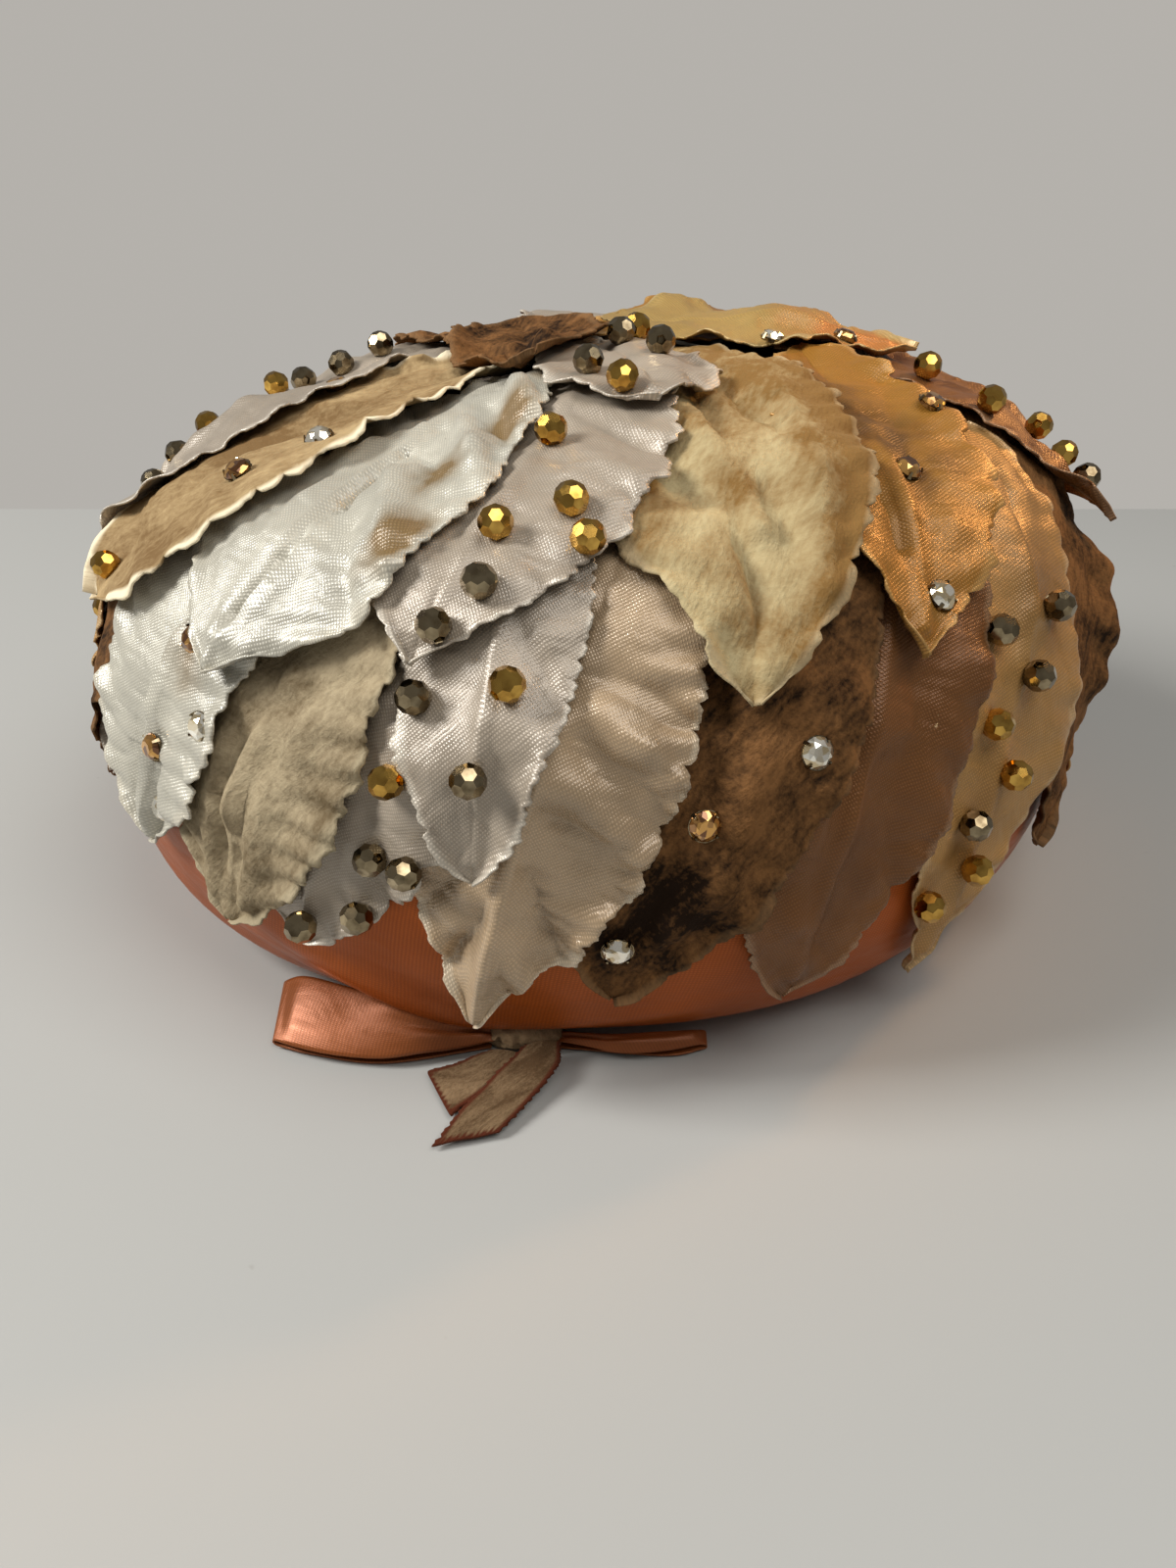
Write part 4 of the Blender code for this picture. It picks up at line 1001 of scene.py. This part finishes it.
def stone_glass(name, colour, deep):
    """Foiled glass: light and dark sparks painted into its colour, cell by cell."""
    material, tree, shader = new_finish(name)
    place = node(tree, "TexCoord").outputs["Object"]
    # Painted reflection: small light and dark cells of colour stand in for the sparks off the cuts.
    cells = node(tree, "TexVoronoi", {"Vector": place, "Scale": 750.0}).outputs["Color"]
    painted_spark = node(tree, "SeparateColor", {"Color": cells}).outputs[0]
    feed(tree, shader, {
        "Base Color": blend_colours(tree, spread(tree, painted_spark, 0.3, 0.7, 0, 1), colour, deep),
        "Roughness": 0.06,
        "Metallic": 0.8,
        "Coat Weight": 1.0,
    })
    return material


stone_finishes = {
    "clear": stone_glass("stone_clear", (0.95, 0.92, 0.82), (0.62, 0.50, 0.30)),
    "topaz": stone_glass("stone_topaz", (0.75, 0.40, 0.10), (0.18, 0.07, 0.02)),
}


def upright(seats):
    return [seat @ Matrix.Diagonal((MM,) * 3).to_4x4() for seat in seats]


stone_shape = cut_stone()
cup_places = []
for finish, glass in stone_finishes.items():
    places = upright(seats_on(STONES[finish], STONE_SEAT))
    cup_places += places
    stones = joined(f"stones_{finish}", copies_at(stone_shape, places))
    dress(stones, glass)
stone_shape.free()
cups = joined("stone_cups", [copy for part in claw_cup() for copy in copies_at(part, cup_places)])
dress(cups, bead_finishes["bronze"])

# Bow: a length of copper satin ribbon folded into two loops, lying on the table against the rim. Its middle
# is pinched under a velvet knot.

# Stations across each loop: x, front y, front z, rear y, rear z, all from the hat's centre
LOOP_LEFT = (
    (-17.5, -103.0, 2.6, -99.8, 4.0),
    (-23.0, -104.4, 2.7, -100.4, 6.6),
    (-30.0, -106.2, 2.6, -100.4, 8.6),
    (-38.0, -107.6, 2.4, -98.4, 9.4),
    (-48.0, -106.6, 2.4, -94.4, 9.2),
    (-56.0, -104.2, 2.4, -91.0, 8.4),
    (-59.8, -102.4, 2.1, -90.2, 6.8),
    (-60.2, -102.2, 1.3, -90.2, 5.2),
    (-58.6, -102.6, 0.7, -90.6, 3.6),
    (-52.0, -104.6, 0.6, -92.6, 2.0),
    (-38.0, -106.8, 0.6, -95.4, 0.7),
    (-18.5, -102.6, 0.6, -99.6, 0.7),
)
LOOP_RIGHT = (
    (-6.0, -103.0, 2.6, -100.6, 2.9),
    (0.0, -104.6, 2.7, -102.2, 3.7),
    (6.0, -106.0, 2.6, -103.0, 4.2),
    (15.0, -105.2, 2.5, -102.2, 4.2),
    (21.5, -103.6, 2.2, -100.8, 3.4),
    (22.6, -103.3, 1.5, -100.6, 2.4),
    (21.5, -103.4, 0.8, -100.6, 1.5),
    (14.0, -104.8, 0.6, -101.0, 0.8),
    (-5.5, -102.6, 0.6, -99.9, 0.7),
)
LOOP_SHEET = 0.35


def smooth_through(table, count):
    """Even steps on a smooth curve through the table's rows."""
    rows = np.array(table, float)
    padded = np.vstack([2 * rows[0] - rows[1], rows, 2 * rows[-1] - rows[-2]])
    out = []
    for t in np.linspace(0, len(rows) - 1 - 1e-9, count):
        k, s = int(t), t - int(t)
        a, b, c, d = padded[k : k + 4]
        bend = (2 * a - 5 * b + 4 * c - d) * s**2 + (3 * b - a - 3 * c + d) * s**3
        out.append(0.5 * (2 * b + (c - a) * s + bend))
    return np.array(out)


def on_table(x, y, z, least):
    """Points in metres from sizes off the hat's centre, none lower than least."""
    return threes(x + HAT_CENTRE[0], y + HAT_CENTRE[1], z.clip(least)) * MM


def dress_ribbon(ribbon, finish):
    """Gives the ribbon its finish."""
    dress(ribbon, finish)
    return ribbon


# The bow's satin is the band's copper made darker: painted shade for loops lying under the band's edge.
SHADED_BOW_COPPER = (0.25, 0.070, 0.017)
BOW_WORN = (0.14, 0.03, 0.006)
shaded_bow_satin = satin_finish(
    "shaded_bow_satin", SHADED_BOW_COPPER, BOW_WORN, SHADED_BOW_COPPER, crumple=0.0002, metal=0.3, shine=0.4, **COPPER_WEAVE
)


def ribbon_loop(name, table, seed):
    """A loop that leaves the knot, turns over at its end and comes back under itself."""
    stations = smooth_through(table, 110)
    across = np.linspace(0, 1, 21)[None, :]
    x, front_y, front_z, rear_y, rear_z = (stations[:, c][:, None] for c in range(5))
    run = np.concatenate([[0], np.cumsum(np.linalg.norm(np.diff(stations[:, :3], axis=0), axis=1))])[:, None]
    share = np.linspace(0, 1, len(stations))[:, None]
    top = soft_step(share, 0.0, 0.06) * (1 - soft_step(share, 0.46, 0.52))
    pinch = 1 - soft_step(share, 0.05, 0.34)
    crease = np.exp(-(((across - 0.55) / 0.16) ** 2)) * pinch * top
    y = front_y + (rear_y - front_y) * across
    z = front_z + (rear_z - front_z) * across + top * np.sin(math.pi * across) ** 0.8 - 2.2 * crease
    z = z + 0.25 * top * ripple(run, 20 * across, seed, 17)
    points = on_table(x, y, z, 0.35)
    place = threes(run, 19 * across, 7.0 * seed)
    middle = tuple(points.mean(axis=(0, 1)))
    loop = woven_grid(name, points, place, 0 * place, wall=LOOP_SHEET, out_of=middle)
    loop.modifiers["thickness"].offset = 0
    return dress_ribbon(loop, shaded_bow_satin)


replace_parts(ribbon_loop("bow_left", LOOP_LEFT, 1), "bow_loop_left")
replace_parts(ribbon_loop("bow_right", LOOP_RIGHT, 2), "bow_loop_right")

# Knot and tails: brown velvet ribbon turned once round the bow's middle and crumpled, its two ends left lying
# on the table, cut aslant and fraying along their copper-brown edges.
KNOT_SECTIONS = (
    # front y, rear y, low z, front top z, rear top z, x
    (-102.4, -98.8, 0.9, 3.6, 2.4, -19.0),
    (-104.2, -98.4, 0.4, 5.4, 2.6, -16.5),
    (-104.6, -98.4, 0.4, 6.4, 2.6, -12.0),
    (-104.2, -98.6, 0.4, 5.4, 2.6, -7.5),
    (-102.4, -98.8, 0.9, 3.6, 2.4, -5.0),
)
# Stations down each tail: left x, left y, right x, right y, height
TAIL_LEFT = (
    (-18.2, -104.9, -12.6, -105.9, 1.5),
    (-22.0, -106.4, -15.0, -111.0, 0.9),
    (-26.0, -108.2, -19.8, -116.0, 0.9),
    (-30.0, -110.0, -24.5, -121.0, 0.8),
)
TAIL_RIGHT = (
    (-11.8, -105.6, -5.4, -104.9, 3.4),
    (-15.6, -111.0, -5.6, -110.6, 2.8),
    (-21.5, -119.4, -10.2, -118.0, 2.2),
    (-27.0, -128.0, -15.5, -125.0, 0.9),
)
TAIL_SHEET = 0.45
KNOT_SHEET = 0.3
RIBBON_EDGE = (0.075, 0.016, 0.006)
ribbon_velvet = velvet_finish(
    "ribbon_velvet", (0.085, 0.048, 0.022), (0.25, 0.165, 0.09), RIBBON_EDGE, crush=0.09, nap=1.9, sheen=0.3
)


def ribbon_tail(name, table, seed):
    """A cut end that comes down from the knot onto the table, its sides nibbled by fraying."""
    stations = smooth_through(table, 90)
    across = np.linspace(-1, 1, 25)[None, :]
    left_x, left_y, right_x, right_y, height = (stations[:, c][:, None] for c in range(5))
    share = (across + 1) / 2
    along = np.linspace(0, 1, len(stations))[:, None]
    run = along * float(np.hypot(*(stations[-1, :2] - stations[0, :2])))
    nibbled = 0.35 * np.sin(run * 4.1 + seed) * np.sin(run * 1.3) * soft_step(np.abs(across), 0.9, 1)
    x = left_x + (right_x - left_x) * share + nibbled
    y = left_y + (right_y - left_y) * share
    z = height + 0.7 * (1 - across**2) * (1 - along) + 0.22 * ripple(run, 6 * across, seed, 9) + 0.25
    points = on_table(x, y, z, 0.3)
    edge = soft_step(np.abs(across), 0.72, 0.92)
    end = soft_step(along + 0.02 * np.sin(across * 31), 0.93, 0.99)
    tones = threes(0.25, np.maximum(edge, end), 0.0)
    place = threes(run, 6 * across, 11.0 * seed)
    under = (points[..., 0].mean(), points[..., 1].mean(), -1)
    tail = woven_grid(name, points, place, tones, wall=TAIL_SHEET, out_of=under)
    return dress_ribbon(tail, ribbon_velvet)


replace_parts(ribbon_tail("tail_left", TAIL_LEFT, 3), "ribbon_tail_left")
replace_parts(ribbon_tail("tail_right", TAIL_RIGHT, 5), "ribbon_tail_right")

knot_rows = smooth_through(KNOT_SECTIONS, 60)
knot_ring = np.linspace(0, 1, 48, endpoint=False)[None, :] * math.tau
knot_front, knot_rear, knot_low, knot_top, knot_back, knot_x = (knot_rows[:, c][:, None] for c in range(6))
knot_y = (knot_front + knot_rear) / 2 + (knot_front - knot_rear) / 2 * np.cos(knot_ring)
knot_rear_top = knot_back + (knot_top - knot_back) * (1 + np.cos(knot_ring))
knot_height = np.where(np.cos(knot_ring) > 0, knot_top, knot_rear_top)
knot_z = knot_low + (knot_height - knot_low) * (0.5 + 0.5 * np.sin(knot_ring))
crumple = 0.6 * ripple(knot_x, knot_y + knot_z, 71, 4.2) + 0.2 * ripple(knot_x, knot_y - knot_z, 73, 2.1)
knot_y = knot_y + crumple * np.cos(knot_ring)
knot_points = on_table(knot_x, knot_y, knot_z + crumple * np.sin(knot_ring), 0.35)
knot_place = threes(knot_x, 3 * knot_ring, 5.0)
knot_tones = threes(-0.35 + 0 * knot_y, 0.0, 0.0)
knot_middle = tuple(knot_points.mean(axis=(0, 1)))
knot = woven_grid("knot_of_velvet", knot_points, knot_place, knot_tones, True, KNOT_SHEET, knot_middle)
knot.modifiers["thickness"].offset = -1
dress(knot, ribbon_velvet)
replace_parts(knot, "bow_knot")

# Table: a pale matt top that ends behind the hat, with a plain wall's tone beyond it, under soft window light
# from the left and above, and a warm lamp glow from the right and behind.
TABLE_HALF = 4.0
TABLE_BACK = 0.262
HAT_MIDDLE = (0, 0, 0.05)
GLOW_AIM = (0.065, -0.01, 0.085)


def table_paint():
    """Matt paint with a few dark specks."""
    material, tree, shader = new_finish("table_paint")
    specks = clouding(tree, node(tree, "TexCoord").outputs["Object"], 160.0, 2.0)
    share = spread(tree, specks, 0.76, 0.80, 0, 0.35)
    colour = blend_colours(tree, share, (0.395, 0.395, 0.38), (0.23, 0.21, 0.19))
    feed(tree, shader, {"Base Color": colour, "Roughness": 0.5})
    return material


mesh = bpy.data.meshes.new("table_top")
corners = [(-TABLE_HALF, -TABLE_HALF, 0.0), (TABLE_HALF, -TABLE_HALF, 0.0)]
corners += [(TABLE_HALF, TABLE_BACK, 0.0), (-TABLE_HALF, TABLE_BACK, 0.0)]
mesh.from_pydata(corners, [], [(0, 1, 2, 3)])
table_top = placed("table_top", mesh)
table_top.data.materials.append(table_paint())

world = bpy.data.worlds.new("room")
bpy.context.scene.world = world
world.use_nodes = True
room = world.node_tree
wall_seen = node(room, "Background", {"Color": (0.46, 0.44, 0.41, 1), "Strength": 1.0})
room_light = node(room, "Background", {"Color": (0.79, 0.77, 0.74, 1), "Strength": 0.24})
from_camera = node(room, "LightPath").outputs["Is Camera Ray"]
both = node(room, "MixShader", {0: from_camera, 1: room_light.outputs[0], 2: wall_seen.outputs[0]})
room.links.new(both.outputs[0], room.nodes["World Output"].inputs["Surface"])
bpy.context.scene.view_settings.view_transform = "Standard"


def lamp_at(name, kind, place, aim, watts, colour):
    """A lamp of this kind, aimed at a point."""
    data = bpy.data.lights.new(name, kind)
    data.energy = watts
    data.color = colour
    lamp = placed(name, data)
    lamp.location = place
    lamp.rotation_euler = (Vector(aim) - lamp.location).to_track_quat("-Z", "Y").to_euler()
    return data


window = lamp_at("window_left", "AREA", (-1.18, -0.18, 1.02), HAT_MIDDLE, 27.0, (1.0, 0.985, 0.955))
above = lamp_at("room_above", "AREA", (0.45, -0.40, 1.2), HAT_MIDDLE, 10.0, (1.0, 0.975, 0.94))
for lamp, size in ((window, (0.45, 0.65)), (above, (0.9, 0.9))):
    lamp.shape = "RECTANGLE"
    lamp.size, lamp.size_y = size
glow = lamp_at("glow_behind", "SPOT", (0.46, 0.22, 0.42), GLOW_AIM, 9.0, (1.0, 0.52, 0.18))
glow.spot_size = math.radians(20)
glow.spot_blend = 1.0
glow.shadow_soft_size = 0.05
